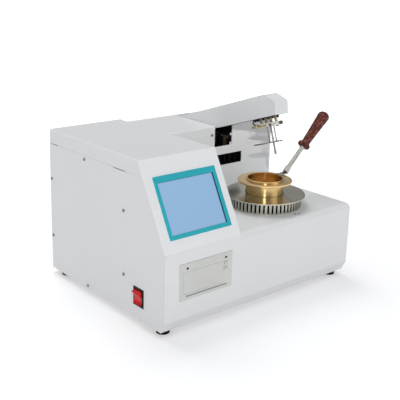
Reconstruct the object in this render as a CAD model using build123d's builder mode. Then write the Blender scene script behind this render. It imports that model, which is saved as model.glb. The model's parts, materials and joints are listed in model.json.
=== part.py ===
from build123d import *
from math import atan2, cos, radians, sin, tan
import os

# Automatic open-cup flash point tester.
# Millimetres, +Z up. The origin is on the bench, in the middle of the space that the tester takes up.
# The operator stands at -Y, and the test cup is on the right, at +X.

os.makedirs("parts", exist_ok=True)

# ---------------------------------------------------------------- driving dimensions

# Cabinet, from its left side, its front and its underside
cab_w = 431.0
cab_d = 341.5
sheet = 1.5
foot_h = 9.0
deck_rise = 132.0
rear_rise = 258.0
tower_rise = 264.5
tower_w = 155.5
slant_run = 70.5
wall_set = 211.0
toe_run = 9.2
toe_rise = 19.0
toe_bend = 3.0
deck_bend = 10.0
fold_bend = 2.6
seam_rise = 240.0
seam_gap = 0.25
seam_slit_h = 1.4
seam_slit_y = 106.0
seam_slit_len = 32.0
seam_slit_back = 8.0
seam_slit_back_len = 21.0

# Feet and screws
foot_r = 12.4
foot_taper = 1.5
foot_inset_x = 17.0
foot_inset_y = 26.0
screw_r = 2.9
screw_head = 1.3
screw_shank_r = 1.5
screw_len = 7.0
hole_clear = 0.2
side_screw_y = 109.5
side_screw_low = 65.0
side_screw_high = 174.0
side_screw_back = 6.0
seam_screw_back = 13.5
seam_screw_drop = 6.5
toe_screw_back = 8.0
toe_screw_rise = 5.5
mark_x = 305.2
mark_y = 20.8
mark_step_x = 5.2
mark_step_y = 3.8
mark_r = 1.1

# Console: plate, bezel and touch screen on the slope
console_t = 2.4
bezel_w = 126.0
bezel_h = 101.5
bezel_t = 1.2
bezel_low = 19.0
bezel_shift = 1.2
bezel_edge = 0.4
screen_w = 112.0
screen_h = 84.0
screen_left = 0.8
screen_drop = 1.8
screen_sink = 3.0
screen_clear = 0.1
screen_t = 4.0
module_t = 9.0
module_rim = 5.0
module_wall = 3.0

# Panel printer
printer_x = 27.0
printer_low = 48.5
printer_w = 110.0
printer_h = 61.5
printer_t = 1.8
printer_depth = 52.0
printer_wall = 2.0
door_x = 8.0
door_low = 11.5
door_w = 80.0
door_h = 36.0
door_t = 2.4
door_gap = 0.4
door_pin_r = 0.8
pin_clear = 0.05
slit_low = 5.6
slit_h = 2.2
slit_x = 13.0
slit_w = 86.0
roll_r = 14.0
roll_len = 57.0
spindle_r = 3.0
platen_r = 4.5
key_w = 7.0
key_h = 5.0
key_proud = 1.4
key_travel = 1.2
key_collar = 1.0
key_x = 95.0
key_low = 34.7
key_step = 9.6
key_edge = 0.5
key_flange = 1.0
key_gap = 0.35
lamp_r = 2.0
lamp_x = 15.3
lamp_low = 53.4
printer_skin = 1.6
printer_clear = 0.2
printer_bend = 2.5
printer_edge = 0.7
roll_back = 8.0
roll_up = 1.0
platen_back = 3.0
platen_pin_r = 1.5

# Mains switch on the left side
switch_y = 68.0
switch_rise = 39.5
switch_w = 27.0
switch_h = 32.0
switch_lip = 2.0
switch_deep = 18.0
switch_flange = 1.6
switch_edge = 0.8
rocker_w = 20.0
rocker_h = 26.0
rocker_nose = 8.0
rocker_nose_up = 9.5
rocker_edge = 2.5
rocker_valley = 3.6
rocker_back = 4.0
rocker_in = 2.0
rocker_tilt = 9.0
rocker_gap = 0.5
rocker_pin_r = 1.5

# Test cup: flange, body and bottom
cup_x = 302.7
cup_y = 96.0
cup_in_r = 31.75
cup_deep = 33.6
cup_wall = 2.4
cup_floor = 3.0
flange_r = 49.25
flange_t = 3.6
rim_h = 2.6
mark_deep = 9.5
flange_over = 25.1

# Cup handle
handle_turn = 5.0
handle_lift = 40.0
clip_w = 11.0
clip_t = 1.8
clip_in_r = 36.5
rod_base_r = 60.0
rod_base_up = 3.4
rod_r = 3.7
rod_len = 63.0
rod_in_grip = 40.0
grip_len = 92.0
grip_collar_r = 10.8
grip_collar_len = 6.5
grip_lobe_r = 4.0
grip_neck_r = 6.6
grip_end_r = 10.2
ferrule_t = 1.6
ferrule_len = 9.5
rivet_r = 1.4
rivet_head = 1.1
rivet_step = 6.0
rivet_in = 3.0

# Heater under the cup
plate_r = 74.0
plate_t = 2.0
plate_over = 21.6
plate_gap = 1.4
skirt_r = 67.2
skirt_t = 1.4
slot_count = 56
vent_w = 3.4
vent_low = 2.4
vent_top = 2.2
well_r = 61.0
heater_r = 33.0
block_t = 6.0
core_r = 46.0
core_t = 9.0
tray_t = 1.2
tray_drop = 22.0
tray_gap = 0.5
groove_first = 14.0
groove_step = 8.0
groove_w = 3.0
groove_deep = 3.0
stand_r = 5.0

# Lifting arm: hinged at the back, and raised by arm_raise in this position
arm_w = 32.5
arm_top = 20.5
arm_low = 18.5
arm_over = 26.7
arm_lean = 4.5
arm_face = 22.5
arm_nose = 22.0
arm_skin = 1.6
arm_raise = 18.5
arm_drop = 16.0
pivot_back = 27.5
pivot_rise = 240.0
pivot_r = 4.0
hub_r = 8.0
top_gap = 1.2
wall_gap = 6.0
slot_rise = 217.5

# Lift drive
cheek_gap = 4.5
cheek_t = 2.0
cheek_over = 14.0
ear_h = 12.0
lift_back = 25.0
lift_rod_r = 4.0
lift_bush_r = 8.0
lift_bush_h = 14.0
lift_roller_r = 6.0
lift_roller_w = 8.0
roller_pin_r = 1.5
roller_gap = 0.3
ear_w = 14.0
wall_screw_rise = 242.0
rod_in_motor = 14.0
bore_spare = 4.0
fork_floor = 3.0
sensor_gap = 1.0
sensor_bar = 18.0
sensor_w = 3.4
sensor_len = 30.0
sensor_drop = 7.0
sensor_ahead = 6.0
motor_w = 42.0
motor_h = 48.0
channel_gap = 2.0

# Test head under the arm
head_in = 9.0
head_len = 52.0
head_w = 13.0
head_top = 29.0
head_h = 7.0
head_edge = 1.0
socket = 2.5
thumb_in = 6.0
spring_in = 8.0
spring_step = 12.2
spring_r = 3.0
spring_wire_r = 0.45
spring_turns = 3.5
spring_sides = 10
stud_r = 1.6
stud_in = 4.0
stud_head_h = 1.6
probe_in = 31.7
probe_r = 1.45
probe_tip_drop = 86.0
probe_side = -2.6
guard_in = 20.0
guard_step = 17.0
guard_r = 1.05
guard_drop = 64.0
wire_over = 21.0
wire_len = 72.5
wire_r = 0.9
tip_len = 7.0
tip_r = 1.2
jet_in = 7.0
jet_side = 11.0
jet_hub_r = 3.2
jet_hub_w = 5.0
jet_r = 1.2
jet_len = 12.0
jet_pin_r = 1.3
knob_r = 3.0
knob_len = 4.2
knob_stem_r = 1.2
knob_stem = 2.0
knob_socket = 6.0
knob_end_gap = 1.0
thumb_r = 2.4
thumb_h = 2.2
thumb_pin_r = 1.0
thumb_pin = 2.0

# Cooling window, duct and fan
window_x = 270.0
window_w = 82.0
window_low = 179.5
window_h = 21.5
duct_t = 1.5
duct_deep = 14.0
vane_count = 5
fan_x = 372.0
fan_rise = 66.0
fan_w = 80.0
fan_t = 25.0
fan_hub_r = 17.0
fan_blade_r = 36.0
fan_gap = 1.5
blade_count = 7
grille_count = 9
grille_w = 4.2
fan_bend = 4.0
fan_spider_w = 4.0
fan_spider_t = 3.0
fan_shaft_r = 2.5
fan_mid = 14.0
fan_hub_t = 16.0
blade_t = 1.6
blade_w = 20.0
blade_pitch = 38.0

# Back: mains inlet and gas inlet
inlet_x = 60.0
inlet_rise = 50.0
inlet_w = 48.0
inlet_h = 28.0
inlet_flange = 2.5
inlet_deep = 22.0
inlet_ear = 9.0
inlet_ear_h = 8.0
inlet_lip = 3.0
ear_screw_in = 4.5
gas_x = 250.0
gas_rise = 52.0
gas_r = 3.5
gas_nut_r = 8.0
gas_nut_t = 5.0
gas_len = 22.0
gas_body = 12.0

# Inside
supply_x = 24.0
supply_y = 100.0
supply_w = 98.0
supply_d = 160.0
supply_h = 42.0
board_x = 170.0
board_y = 70.0
board_w = 120.0
board_h = 90.0
board_t = 1.6
board_edge = 5.0
pillar_r = 3.0
chip_x = 30.0
chip_y = 25.0
chip_w = 30.0
chip_t = 3.0
relay_x = 75.0
relay_y = 15.0
relay_w = 35.0
relay_d = 20.0
relay_h = 14.0
standoff = 8.0
rest_gap = 0.3
run_gap = 0.05

# ---------------------------------------------------------------- places worked out from them

grip_tip = rod_len + grip_len - grip_end_r
reach_right = cup_x + cos(radians(handle_turn)) * (rod_base_r + cos(radians(handle_lift)) * grip_tip)
reach_right += grip_end_r
reach_left = rocker_nose * cos(radians(rocker_tilt)) + rocker_nose_up * sin(radians(rocker_tilt))
reach_left -= rocker_in
reach_front = printer_t + key_proud
reach_back = cab_d + gas_len

x0 = -(reach_right - reach_left) / 2
y0 = -(reach_back - reach_front) / 2
z0 = foot_h
x1 = x0 + cab_w
y1 = y0 + cab_d
deck_z = z0 + deck_rise
rear_z = z0 + rear_rise
tower_z = z0 + tower_rise
tower_x = x0 + tower_w
wall_y = y0 + wall_set
seam_z = z0 + seam_rise
cx = x0 + cup_x
cy = y0 + cup_y
half = sheet / 2
side_spots = [
    (y, z0 + rise)
    for y in (y0 + side_screw_y, y1 - side_screw_back)
    for rise in (side_screw_low, side_screw_high)
]
side_spots += [
    (wall_y + seam_screw_back, seam_z - seam_screw_drop),
    (wall_y + toe_screw_back, z0 + toe_screw_rise),
]
pivot_y = cab_d - pivot_back
lift_y = wall_set + lift_back
arm_reach = (pivot_y - cup_y + arm_over) / cos(radians(arm_raise))
head_front = arm_reach - head_in
head_back = head_front - head_len
thumb_at = head_front - thumb_in
spring_at = head_back + spring_in
probe_at = head_back + probe_in
guard_back = head_back + guard_in
guard_front = guard_back + guard_step
wire_back = head_back - wire_over
wire_front = wire_back + wire_len
jet_at = head_back + jet_in
cheek_x = arm_w / 2 + cheek_gap
wall_screw_at = (cx - cheek_x - cheek_t - ear_w / 2, z0 + wall_screw_rise)
inlet_at = (x0 + inlet_x, z0 + inlet_rise)
ear_spots = [(inlet_at[0] + way * (inlet_w / 2 - ear_screw_in), inlet_at[1]) for way in (-1, 1)]
fan_at = (x0 + fan_x, z0 + fan_rise)
fan_corner = fan_w / 2 - 4.25
fan_screw_spots = [
    (fan_at[0] + i * fan_corner, fan_at[1] + j * fan_corner) for i in (-1, 1) for j in (-1, 1)
]
gas_at = (x0 + gas_x, z0 + gas_rise)
slope = atan2(slant_run, tower_z - deck_z)
console_low = deck_z - console_t * sin(slope)


def block(x_range, y_range, z_range, mode=Mode.ADD):
    """A box between two corners, given as low and high values along each axis."""
    middle = [(low + high) / 2 for low, high in (x_range, y_range, z_range)]
    size = [high - low for low, high in (x_range, y_range, z_range)]
    with Locations(tuple(middle)):
        Box(*size, mode=mode)


def disc(plane, radius, thickness, mode=Mode.ADD):
    """A round plate or pin that rises from a plane."""
    with Locations(plane):
        Cylinder(radius, thickness, align=(Align.CENTER, Align.CENTER, Align.MIN), mode=mode)


def bar_x(x_range, centre, radius, mode=Mode.ADD):
    """A round bar along X; centre is its (y, z)."""
    disc(Plane((x_range[0], *centre), z_dir=(1, 0, 0)), radius, x_range[1] - x_range[0], mode)


def bar_y(x, y_range, z, radius, mode=Mode.ADD):
    """A round bar along Y."""
    disc(Plane((x, y_range[0], z), z_dir=(0, 1, 0)), radius, y_range[1] - y_range[0], mode)


def console_y(z):
    """Where the back of the console plate is at a height."""
    return y0 + console_t / cos(slope) + (z - deck_z) * tan(slope)


def side_holes():
    """Screw holes through both sides of the piece being built."""
    for y, z in side_spots:
        with Locations(Location((0, y, z), (0, 90, 0))):
            Cylinder(screw_shank_r + hole_clear, 2 * cab_w, mode=Mode.SUBTRACT)


# ---------------------------------------------------------------- cabinet

with BuildPart() as base_pan:
    pan_x = (x0 + sheet, x1 - sheet)
    pan_y = (y0 + toe_run + 2 * sheet, y1 - sheet)
    block(pan_x, pan_y, (z0, z0 + toe_rise - 4))
    block(
        (pan_x[0] + sheet, pan_x[1] - sheet),
        (pan_y[0] + sheet, pan_y[1] - sheet),
        (z0 + sheet, z0 + toe_rise),
        mode=Mode.SUBTRACT,
    )
    foot_spots = [
        (x, y, z0)
        for x in (x0 + foot_inset_x, x1 - foot_inset_x)
        for y in (y0 + foot_inset_y, y1 - foot_inset_y)
    ]
    with Locations(*foot_spots):
        Cylinder(screw_shank_r + hole_clear, 4 * sheet, mode=Mode.SUBTRACT)
    side_holes()
base_pan.part.label = "base_pan"
export_step(base_pan.part, "parts/base_pan.step")

with BuildPart() as feet:
    for spot in foot_spots:
        with BuildSketch(Plane((spot[0], spot[1], 0))):
            Circle(foot_r - foot_taper)
        with BuildSketch(Plane((spot[0], spot[1], foot_h))):
            Circle(foot_r)
        loft()
        with Locations((spot[0], spot[1], foot_h - 2.5)):
            Cylinder(screw_shank_r + hole_clear, 5.0, mode=Mode.SUBTRACT)
feet.part.label = "feet"
export_step(feet.part, "parts/feet.step")

with BuildPart() as foot_screws:
    for spot in foot_spots:
        disc(Plane((spot[0], spot[1], foot_h - 5.0)), screw_shank_r, 5.0 + sheet)
        disc(Plane((spot[0], spot[1], z0 + sheet)), screw_r, screw_head)
foot_screws.part.label = "foot_screws"
export_step(foot_screws.part, "parts/foot_screws.step")

# One bent sheet: the toe, the front and the deck. In front of the tower it ends under the console.
front_path = [
    (y0 + toe_run + half, z0 + half),
    (y0 + half, z0 + toe_rise),
    (y0 + half, deck_z - half),
    (wall_y, deck_z - half),
]
with BuildPart() as front_deck:
    with BuildSketch(Plane.YZ.offset(tower_x)):
        with BuildLine():
            FilletPolyline(*front_path, radius=[toe_bend, deck_bend])
        trace(line_width=sheet)
    extrude(amount=cab_w - tower_w - sheet)
    with BuildSketch(Plane.YZ.offset(x0 + sheet)):
        with BuildLine():
            FilletPolyline(*front_path[:2], (y0 + half, deck_z), radius=toe_bend)
        trace(line_width=sheet)
    extrude(amount=tower_w - sheet)
    with BuildSketch(Plane.YZ.offset(x0 - 1)):
        Polygon(
            (y0 - sheet, deck_z + sheet * tan(slope)),
            (y0 + 2 * sheet, deck_z - 2 * sheet * tan(slope)),
            (y0 + 2 * sheet, deck_z + 2 * sheet),
            (y0 - sheet, deck_z + 2 * sheet),
            align=None,
        )
    extrude(amount=tower_w + 1, mode=Mode.SUBTRACT)
    with Locations((cx, cy, deck_z)):
        Cylinder(well_r, 4 * sheet, mode=Mode.SUBTRACT)
    block(
        (x0 + printer_x + printer_wall, x0 + printer_x + printer_w - printer_wall),
        (y0 - 1, y0 + 2 * sheet),
        (z0 + printer_low + printer_wall, z0 + printer_low + printer_h - printer_wall),
        mode=Mode.SUBTRACT,
    )
    for step in (0, 1):
        with Locations((x0 + mark_x + step * mark_step_x, y0 + mark_y - step * mark_step_y, deck_z)):
            Cylinder(mark_r, 4 * sheet, mode=Mode.SUBTRACT)
front_deck.part.label = "front_deck"
export_step(front_deck.part, "parts/front_deck.step")

# One bent sheet: the wall behind the cup and the low roof, slotted for the arm.
with BuildPart() as rear_housing:
    with BuildSketch(Plane.YZ.offset(tower_x)):
        with BuildLine():
            FilletPolyline(
                (wall_y + half, deck_z - sheet),
                (wall_y + half, rear_z - half),
                (y1 - sheet, rear_z - half),
                radius=fold_bend,
            )
        trace(line_width=sheet)
    extrude(amount=cab_w - tower_w - sheet)
    block(
        (cx - arm_w / 2 - wall_gap, cx + arm_w / 2 + wall_gap),
        (wall_y - 1, wall_y + 2 * sheet),
        (z0 + slot_rise, rear_z - sheet),
        mode=Mode.SUBTRACT,
    )
    block(
        (cx - arm_w / 2 - top_gap, cx + arm_w / 2 + top_gap),
        (wall_y - 1, y1 + 1),
        (rear_z - 4 * sheet, rear_z + 1),
        mode=Mode.SUBTRACT,
    )
    block(
        (x0 + window_x, x0 + window_x + window_w),
        (wall_y - 1, wall_y + 2 * sheet),
        (z0 + window_low, z0 + window_low + window_h),
        mode=Mode.SUBTRACT,
    )
    bar_y(
        wall_screw_at[0],
        (wall_y - 1, wall_y + screw_len),
        wall_screw_at[1],
        screw_shank_r + hole_clear,
        Mode.SUBTRACT,
    )
rear_housing.part.label = "rear_housing"
export_step(rear_housing.part, "parts/rear_housing.step")

# The tower's cover: left lip, roof and right wall, with its front cut along the slope.
with BuildPart() as tower_cover:
    with BuildSketch(Plane.XZ.offset(-(y1 - sheet))):
        with BuildLine():
            FilletPolyline(
                (x0 + half, seam_z),
                (x0 + half, tower_z - half),
                (tower_x - half, tower_z - half),
                (tower_x - half, deck_z - sheet),
                radius=fold_bend,
            )
        trace(line_width=sheet)
    extrude(amount=cab_d - sheet)
    with BuildSketch(Plane.YZ.offset(x0 - 1)):
        Polygon(
            (y0 - 2, deck_z - 2 * sheet),
            (console_y(deck_z - 2 * sheet), deck_z - 2 * sheet),
            (console_y(tower_z + 2), tower_z + 2),
            (y0 - 2, tower_z + 2),
            align=None,
        )
    extrude(amount=tower_w + 2, mode=Mode.SUBTRACT)
tower_cover.part.label = "tower_cover"
export_step(tower_cover.part, "parts/tower_cover.step")

# Flat side plates. The left one carries the mains switch, and its top edge is the cover's seam.
switch_z = z0 + switch_rise
with BuildPart() as left_side:
    with BuildSketch(Plane.YZ.offset(x0)):
        Polygon(
            (y0 + toe_run, z0),
            (y0, z0 + toe_rise),
            (y0, console_low),
            (console_y(console_low), console_low),
            (console_y(seam_z - seam_gap), seam_z - seam_gap),
            (y1, seam_z - seam_gap),
            (y1, z0),
            align=None,
        )
    extrude(amount=sheet)
    with Locations((x0, y0 + switch_y, switch_z)):
        Box(4 * sheet, switch_w - 2 * switch_lip, switch_h - 2 * switch_lip, mode=Mode.SUBTRACT)
    side_holes()
    slits = (
        (y0 + seam_slit_y, y0 + seam_slit_y + seam_slit_len),
        (y1 - seam_slit_back - seam_slit_back_len, y1 - seam_slit_back),
    )
    for slit in slits:
        block((x0 - 1, x0 + 2 * sheet), slit, (seam_z - seam_slit_h, seam_z), mode=Mode.SUBTRACT)
left_side.part.label = "left_side"
export_step(left_side.part, "parts/left_side.step")

with BuildPart() as right_side:
    with BuildSketch(Plane.YZ.offset(x1 - sheet)):
        Polygon(
            (y0 + toe_run, z0),
            (y0, z0 + toe_rise),
            (y0, deck_z),
            (wall_y, deck_z),
            (wall_y, rear_z),
            (y1, rear_z),
            (y1, z0),
            align=None,
        )
        corner = vertices().filter_by_position(Axis.X, y0 - 1, y0 + 1).sort_by(Axis.Y)[-1]
        fillet(corner, deck_bend)
    extrude(amount=sheet)
    side_holes()
right_side.part.label = "right_side"
export_step(right_side.part, "parts/right_side.step")

back_y = y1 - sheet
with BuildPart() as rear_panel:
    block((x0 + sheet, tower_x), (back_y, y1), (z0, tower_z))
    block((tower_x, x1 - sheet), (back_y, y1), (z0, rear_z))
    block(
        (inlet_at[0] - inlet_w / 2 + inlet_ear, inlet_at[0] + inlet_w / 2 - inlet_ear),
        (back_y - 1, y1 + 1),
        (inlet_at[1] - inlet_h / 2 + inlet_lip, inlet_at[1] + inlet_h / 2 - inlet_lip),
        mode=Mode.SUBTRACT,
    )
    bar_y(gas_at[0], (back_y - 1, y1 + 1), gas_at[1], gas_r + 2.0, Mode.SUBTRACT)
    with BuildSketch(Plane((fan_at[0], y1, fan_at[1]), x_dir=(1, 0, 0), z_dir=(0, -1, 0))):
        with Locations(*[((i - (grille_count - 1) / 2) * 2 * grille_w, 0) for i in range(grille_count)]):
            Rectangle(grille_w, 0.82 * fan_w)
    extrude(amount=2 * sheet, both=True, mode=Mode.SUBTRACT)
    for x, z in fan_screw_spots + ear_spots:
        bar_y(x, (y1 - screw_len, y1 + 1), z, screw_shank_r + hole_clear, Mode.SUBTRACT)
rear_panel.part.label = "rear_panel"
export_step(rear_panel.part, "parts/rear_panel.step")

# ---------------------------------------------------------------- console

console = Plane((x0, y0, deck_z), x_dir=(1, 0, 0), z_dir=(0, -cos(slope), sin(slope)))
console_h = slant_run / sin(slope)
bezel_mid = (tower_w / 2 + bezel_shift, bezel_low + bezel_h / 2)
screen_mid = (bezel_mid[0] - screen_left, bezel_mid[1] - screen_drop)
with BuildPart() as console_panel:
    with BuildSketch(console):
        with Locations((tower_w / 2, console_h / 2)):
            RectangleRounded(tower_w, console_h, 0.6)
        with Locations(screen_mid):
            Rectangle(screen_w, screen_h, mode=Mode.SUBTRACT)
    extrude(amount=-console_t)
console_panel.part.label = "console_panel"
export_step(console_panel.part, "parts/console_panel.step")

with BuildPart() as screen_bezel:
    with BuildSketch(console):
        with Locations(bezel_mid):
            RectangleRounded(bezel_w, bezel_h, 1.5)
        with Locations(screen_mid):
            Rectangle(screen_w, screen_h, mode=Mode.SUBTRACT)
    extrude(amount=bezel_t)
    chamfer(faces().sort_by(Axis(console.origin, console.z_dir))[-1].outer_wire().edges(), bezel_edge)
screen_bezel.part.label = "screen_bezel"
export_step(screen_bezel.part, "parts/screen_bezel.step")

with BuildPart() as touch_screen:
    with BuildSketch(console.offset(bezel_t - screen_sink - screen_t)):
        with Locations(screen_mid):
            Rectangle(screen_w - 2 * screen_clear, screen_h - 2 * screen_clear)
    extrude(amount=screen_t)
touch_screen.part.label = "touch_screen"
export_step(touch_screen.part, "parts/touch_screen.step")

module_top = bezel_t - screen_sink - screen_t
module_bay = [side + 2 * (module_rim - module_wall) for side in (screen_w, screen_h)]
with BuildPart() as display_module:
    with BuildSketch(console.offset(module_top)):
        with Locations(screen_mid):
            Rectangle(screen_w + 2 * module_rim, screen_h + 2 * module_rim)
    extrude(amount=-module_t)
    with BuildSketch(console.offset(module_top)):
        with Locations(screen_mid):
            Rectangle(screen_w + 2 * module_rim, screen_h + 2 * module_rim)
            Rectangle(*module_bay, mode=Mode.SUBTRACT)
    extrude(amount=-console_t - module_top)
display_module.part.label = "display_module"
export_step(display_module.part, "parts/display_module.step")

# ---------------------------------------------------------------- panel printer

px = x0 + printer_x
pz = z0 + printer_low
face_y = y0 - printer_t
part_x = px + key_x - key_w / 2 - 2 * key_flange - 1.0
case_in = printer_wall + printer_clear
case_x = (px + case_in, px + printer_w - case_in)
case_z = (pz + case_in, pz + printer_h - case_in)
skin = printer_skin
door_x_range = (px + door_x, px + door_x + door_w)
door_z_range = (pz + door_low, pz + door_low + door_h)
door_axis = (face_y + door_t / 2, door_z_range[1] - 1.5)
roll_axis = (y0 + roll_back + roll_r, (door_z_range[0] + door_z_range[1]) / 2 + roll_up)
platen_axis = (y0 + platen_back + platen_r, case_z[0] + skin + platen_r + rest_gap)
key_spots = [(px + key_x, pz + key_low + key_step), (px + key_x, pz + key_low)]
lamp_spots = [(px + lamp_x, pz + lamp_low), (px + key_x, pz + lamp_low)]

with BuildPart() as printer_case:
    block((px, px + printer_w), (face_y, y0), (pz, pz + printer_h))
    fillet(edges().filter_by(Axis.Y), printer_bend)
    chamfer(faces().sort_by(Axis.Y)[0].edges(), printer_edge)
    block(case_x, (y0, y0 + printer_depth), case_z)
    block(
        (case_x[0] + skin, part_x - skin),
        (y0 - 0.2, y0 + printer_depth - skin),
        (case_z[0] + skin, case_z[1] - skin),
        mode=Mode.SUBTRACT,
    )
    block(
        (part_x, case_x[1] - skin),
        (y0, y0 + printer_depth - skin),
        (case_z[0] + skin, case_z[1] - skin),
        mode=Mode.SUBTRACT,
    )
    block(
        (door_x_range[0] - door_gap, door_x_range[1] + door_gap),
        (face_y - 1, y0 + 1),
        (door_z_range[0] - door_gap, door_z_range[1] + door_gap),
        mode=Mode.SUBTRACT,
    )
    block(
        (px + slit_x, px + slit_x + slit_w),
        (face_y - 1, y0 + 1),
        (pz + slit_low, pz + slit_low + slit_h),
        mode=Mode.SUBTRACT,
    )
    for x, z in key_spots:
        block(
            (x - key_w / 2 - key_gap, x + key_w / 2 + key_gap),
            (face_y - 1, y0 + 1),
            (z - key_h / 2 - key_gap, z + key_h / 2 + key_gap),
            mode=Mode.SUBTRACT,
        )
    for x, z in lamp_spots:
        with Locations(Location((x, y0, z), (90, 0, 0))):
            Cylinder(lamp_r, 3 * printer_t, mode=Mode.SUBTRACT)
    bar_x((door_x_range[0] - 3, door_x_range[1] + 3), door_axis, door_pin_r + pin_clear, Mode.SUBTRACT)
    key_stop = y0 + key_collar + key_travel + rest_gap
    block(
        (part_x, case_x[1] - skin),
        (key_stop, key_stop + skin),
        (key_spots[1][1] - 9, key_spots[0][1] + 8),
    )
    bar_x((case_x[0] + skin / 2, part_x - skin / 2), roll_axis, spindle_r, Mode.SUBTRACT)
    bar_x((case_x[0] + skin / 2, part_x - skin / 2), platen_axis, platen_pin_r + pin_clear, Mode.SUBTRACT)
printer_case.part.label = "printer_case"
export_step(printer_case.part, "parts/printer_case.step")

with BuildPart() as printer_door:
    block(door_x_range, (face_y, face_y + door_t), door_z_range)
    fillet(edges().filter_by(Axis.X).group_by(Axis.Z)[-1], 1.0)
    bar_x((door_x_range[0] - 2.5, door_x_range[1] + 2.5), door_axis, door_pin_r)
printer_door.part.label = "printer_door"
export_step(printer_door.part, "parts/printer_door.step")

with BuildPart() as roll_spindle:
    bar_x((case_x[0] + skin / 2, part_x - skin / 2), roll_axis, spindle_r)
roll_spindle.part.label = "roll_spindle"
export_step(roll_spindle.part, "parts/roll_spindle.step")

roll_mid = (case_x[0] + part_x) / 2
with BuildPart() as paper_roll:
    bar_x((roll_mid - roll_len / 2, roll_mid + roll_len / 2), roll_axis, roll_r)
    bar_x((roll_mid - roll_len, roll_mid + roll_len), roll_axis, spindle_r + run_gap, Mode.SUBTRACT)
paper_roll.part.label = "paper_roll"
export_step(paper_roll.part, "parts/paper_roll.step")

with BuildPart() as platen_roller:
    bar_x((case_x[0] + skin + 1, part_x - skin - 1), platen_axis, platen_r)
    bar_x((case_x[0] + skin / 2 + 0.2, part_x - skin / 2 - 0.2), platen_axis, platen_pin_r)
platen_roller.part.label = "platen_roller"
export_step(platen_roller.part, "parts/platen_roller.step")

with BuildPart() as printer_lamps:
    for x, z in lamp_spots:
        disc(Plane((x, y0 + 0.5, z), z_dir=(0, -1, 0)), lamp_r, printer_t + 1.0)
printer_lamps.part.label = "printer_lamps"
export_step(printer_lamps.part, "parts/printer_lamps.step")

for name, (x, z) in zip(("feed_key", "select_key"), key_spots):
    with BuildPart() as key:
        block(
            (x - key_w / 2, x + key_w / 2),
            (face_y - key_proud, y0 + key_collar),
            (z - key_h / 2, z + key_h / 2),
        )
        chamfer(faces().sort_by(Axis.Y)[0].edges(), key_edge)
        block(
            (x - key_w / 2 - key_flange, x + key_w / 2 + key_flange),
            (y0 + 0.1, y0 + key_collar),
            (z - key_h / 2, z + key_h / 2),
        )
    key.part.label = name
    export_step(key.part, f"parts/{name}.step")

# ---------------------------------------------------------------- mains switch

sy = y0 + switch_y
with BuildPart() as switch_frame:
    block(
        (x0 - switch_flange, x0),
        (sy - switch_w / 2, sy + switch_w / 2),
        (switch_z - switch_h / 2, switch_z + switch_h / 2),
    )
    chamfer(faces().sort_by(Axis.X)[0].edges(), switch_edge)
    body_w = switch_w / 2 - switch_lip - 0.1
    body_h = switch_h / 2 - switch_lip - 0.1
    block((x0, x0 + switch_deep), (sy - body_w, sy + body_w), (switch_z - body_h, switch_z + body_h))
    block(
        (x0 - 2, x0 + switch_deep - 4),
        (sy - rocker_w / 2 - rocker_gap, sy + rocker_w / 2 + rocker_gap),
        (switch_z - rocker_h / 2 - rocker_gap, switch_z + rocker_h / 2 + rocker_gap),
        mode=Mode.SUBTRACT,
    )
    with Locations(Location((x0 + rocker_in, sy, switch_z), (90, 0, 0))):
        Cylinder(rocker_pin_r + pin_clear, rocker_w + 2 * rocker_gap + 1.6, mode=Mode.SUBTRACT)
switch_frame.part.label = "switch_frame"
export_step(switch_frame.part, "parts/switch_frame.step")

tilt = radians(rocker_tilt)
rocker_plane = Plane(
    (x0 + rocker_in, sy, switch_z), x_dir=(-cos(tilt), 0, -sin(tilt)), z_dir=(0, 1, 0)
)
with BuildPart() as power_rocker:
    with BuildSketch(rocker_plane):
        with BuildLine():
            Polyline(
                (rocker_nose, rocker_nose_up),
                (rocker_edge, rocker_h / 2 - 0.6),
                (-rocker_back, rocker_h / 2 - 4),
                (-rocker_back, -rocker_h / 2 + 4),
                (rocker_edge, -rocker_h / 2 + 0.6),
                (rocker_nose, -rocker_nose_up),
            )
            ThreePointArc(
                (rocker_nose, -rocker_nose_up),
                (rocker_valley, 0),
                (rocker_nose, rocker_nose_up),
            )
        make_face()
    extrude(amount=rocker_w / 2, both=True)
    with BuildSketch(rocker_plane):
        Circle(rocker_pin_r)
    extrude(amount=rocker_w / 2 + rocker_gap + 0.6, both=True)
power_rocker.part.label = "power_rocker"
export_step(power_rocker.part, "parts/power_rocker.step")

# ---------------------------------------------------------------- heater

cup_r = cup_in_r + cup_wall
plate_z = deck_z + plate_over
flange_z = plate_z + flange_over
rim_z = flange_z + rim_h
cup_low = rim_z - cup_deep - cup_floor
heat_z = cup_low - rest_gap
core_z = heat_z - block_t
tray_z = deck_z - tray_drop
vent_h = plate_over - plate_t - vent_low - vent_top

with BuildPart() as vent:
    with BuildSketch(
        Plane((0, -skirt_r, deck_z + vent_low + vent_h / 2), x_dir=(1, 0, 0), z_dir=(0, -1, 0)),
    ):
        Rectangle(vent_w, vent_h)
    extrude(amount=3 * skirt_t, both=True)

with BuildPart() as heater_skirt:
    disc(Plane((cx, cy, deck_z)), skirt_r, plate_z - plate_t - deck_z)
    disc(Plane((cx, cy, deck_z - 1)), skirt_r - skirt_t, plate_z - deck_z, mode=Mode.SUBTRACT)
    with Locations((cx, cy, 0)):
        with PolarLocations(0, slot_count):
            add(vent.part, mode=Mode.SUBTRACT)
heater_skirt.part.label = "heater_skirt"
export_step(heater_skirt.part, "parts/heater_skirt.step")

with BuildPart() as heater_plate:
    disc(Plane((cx, cy, plate_z - plate_t)), plate_r, plate_t)
    chamfer(edges().group_by(Axis.Z)[-1], 0.4)
    disc(Plane((cx, cy, plate_z - 2 * plate_t)), cup_r + plate_gap, 3 * plate_t, mode=Mode.SUBTRACT)
heater_plate.part.label = "heater_plate"
export_step(heater_plate.part, "parts/heater_plate.step")

with BuildPart() as heater_block:
    disc(Plane((cx, cy, core_z)), heater_r, block_t)
heater_block.part.label = "heater_block"
export_step(heater_block.part, "parts/heater_block.step")

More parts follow.
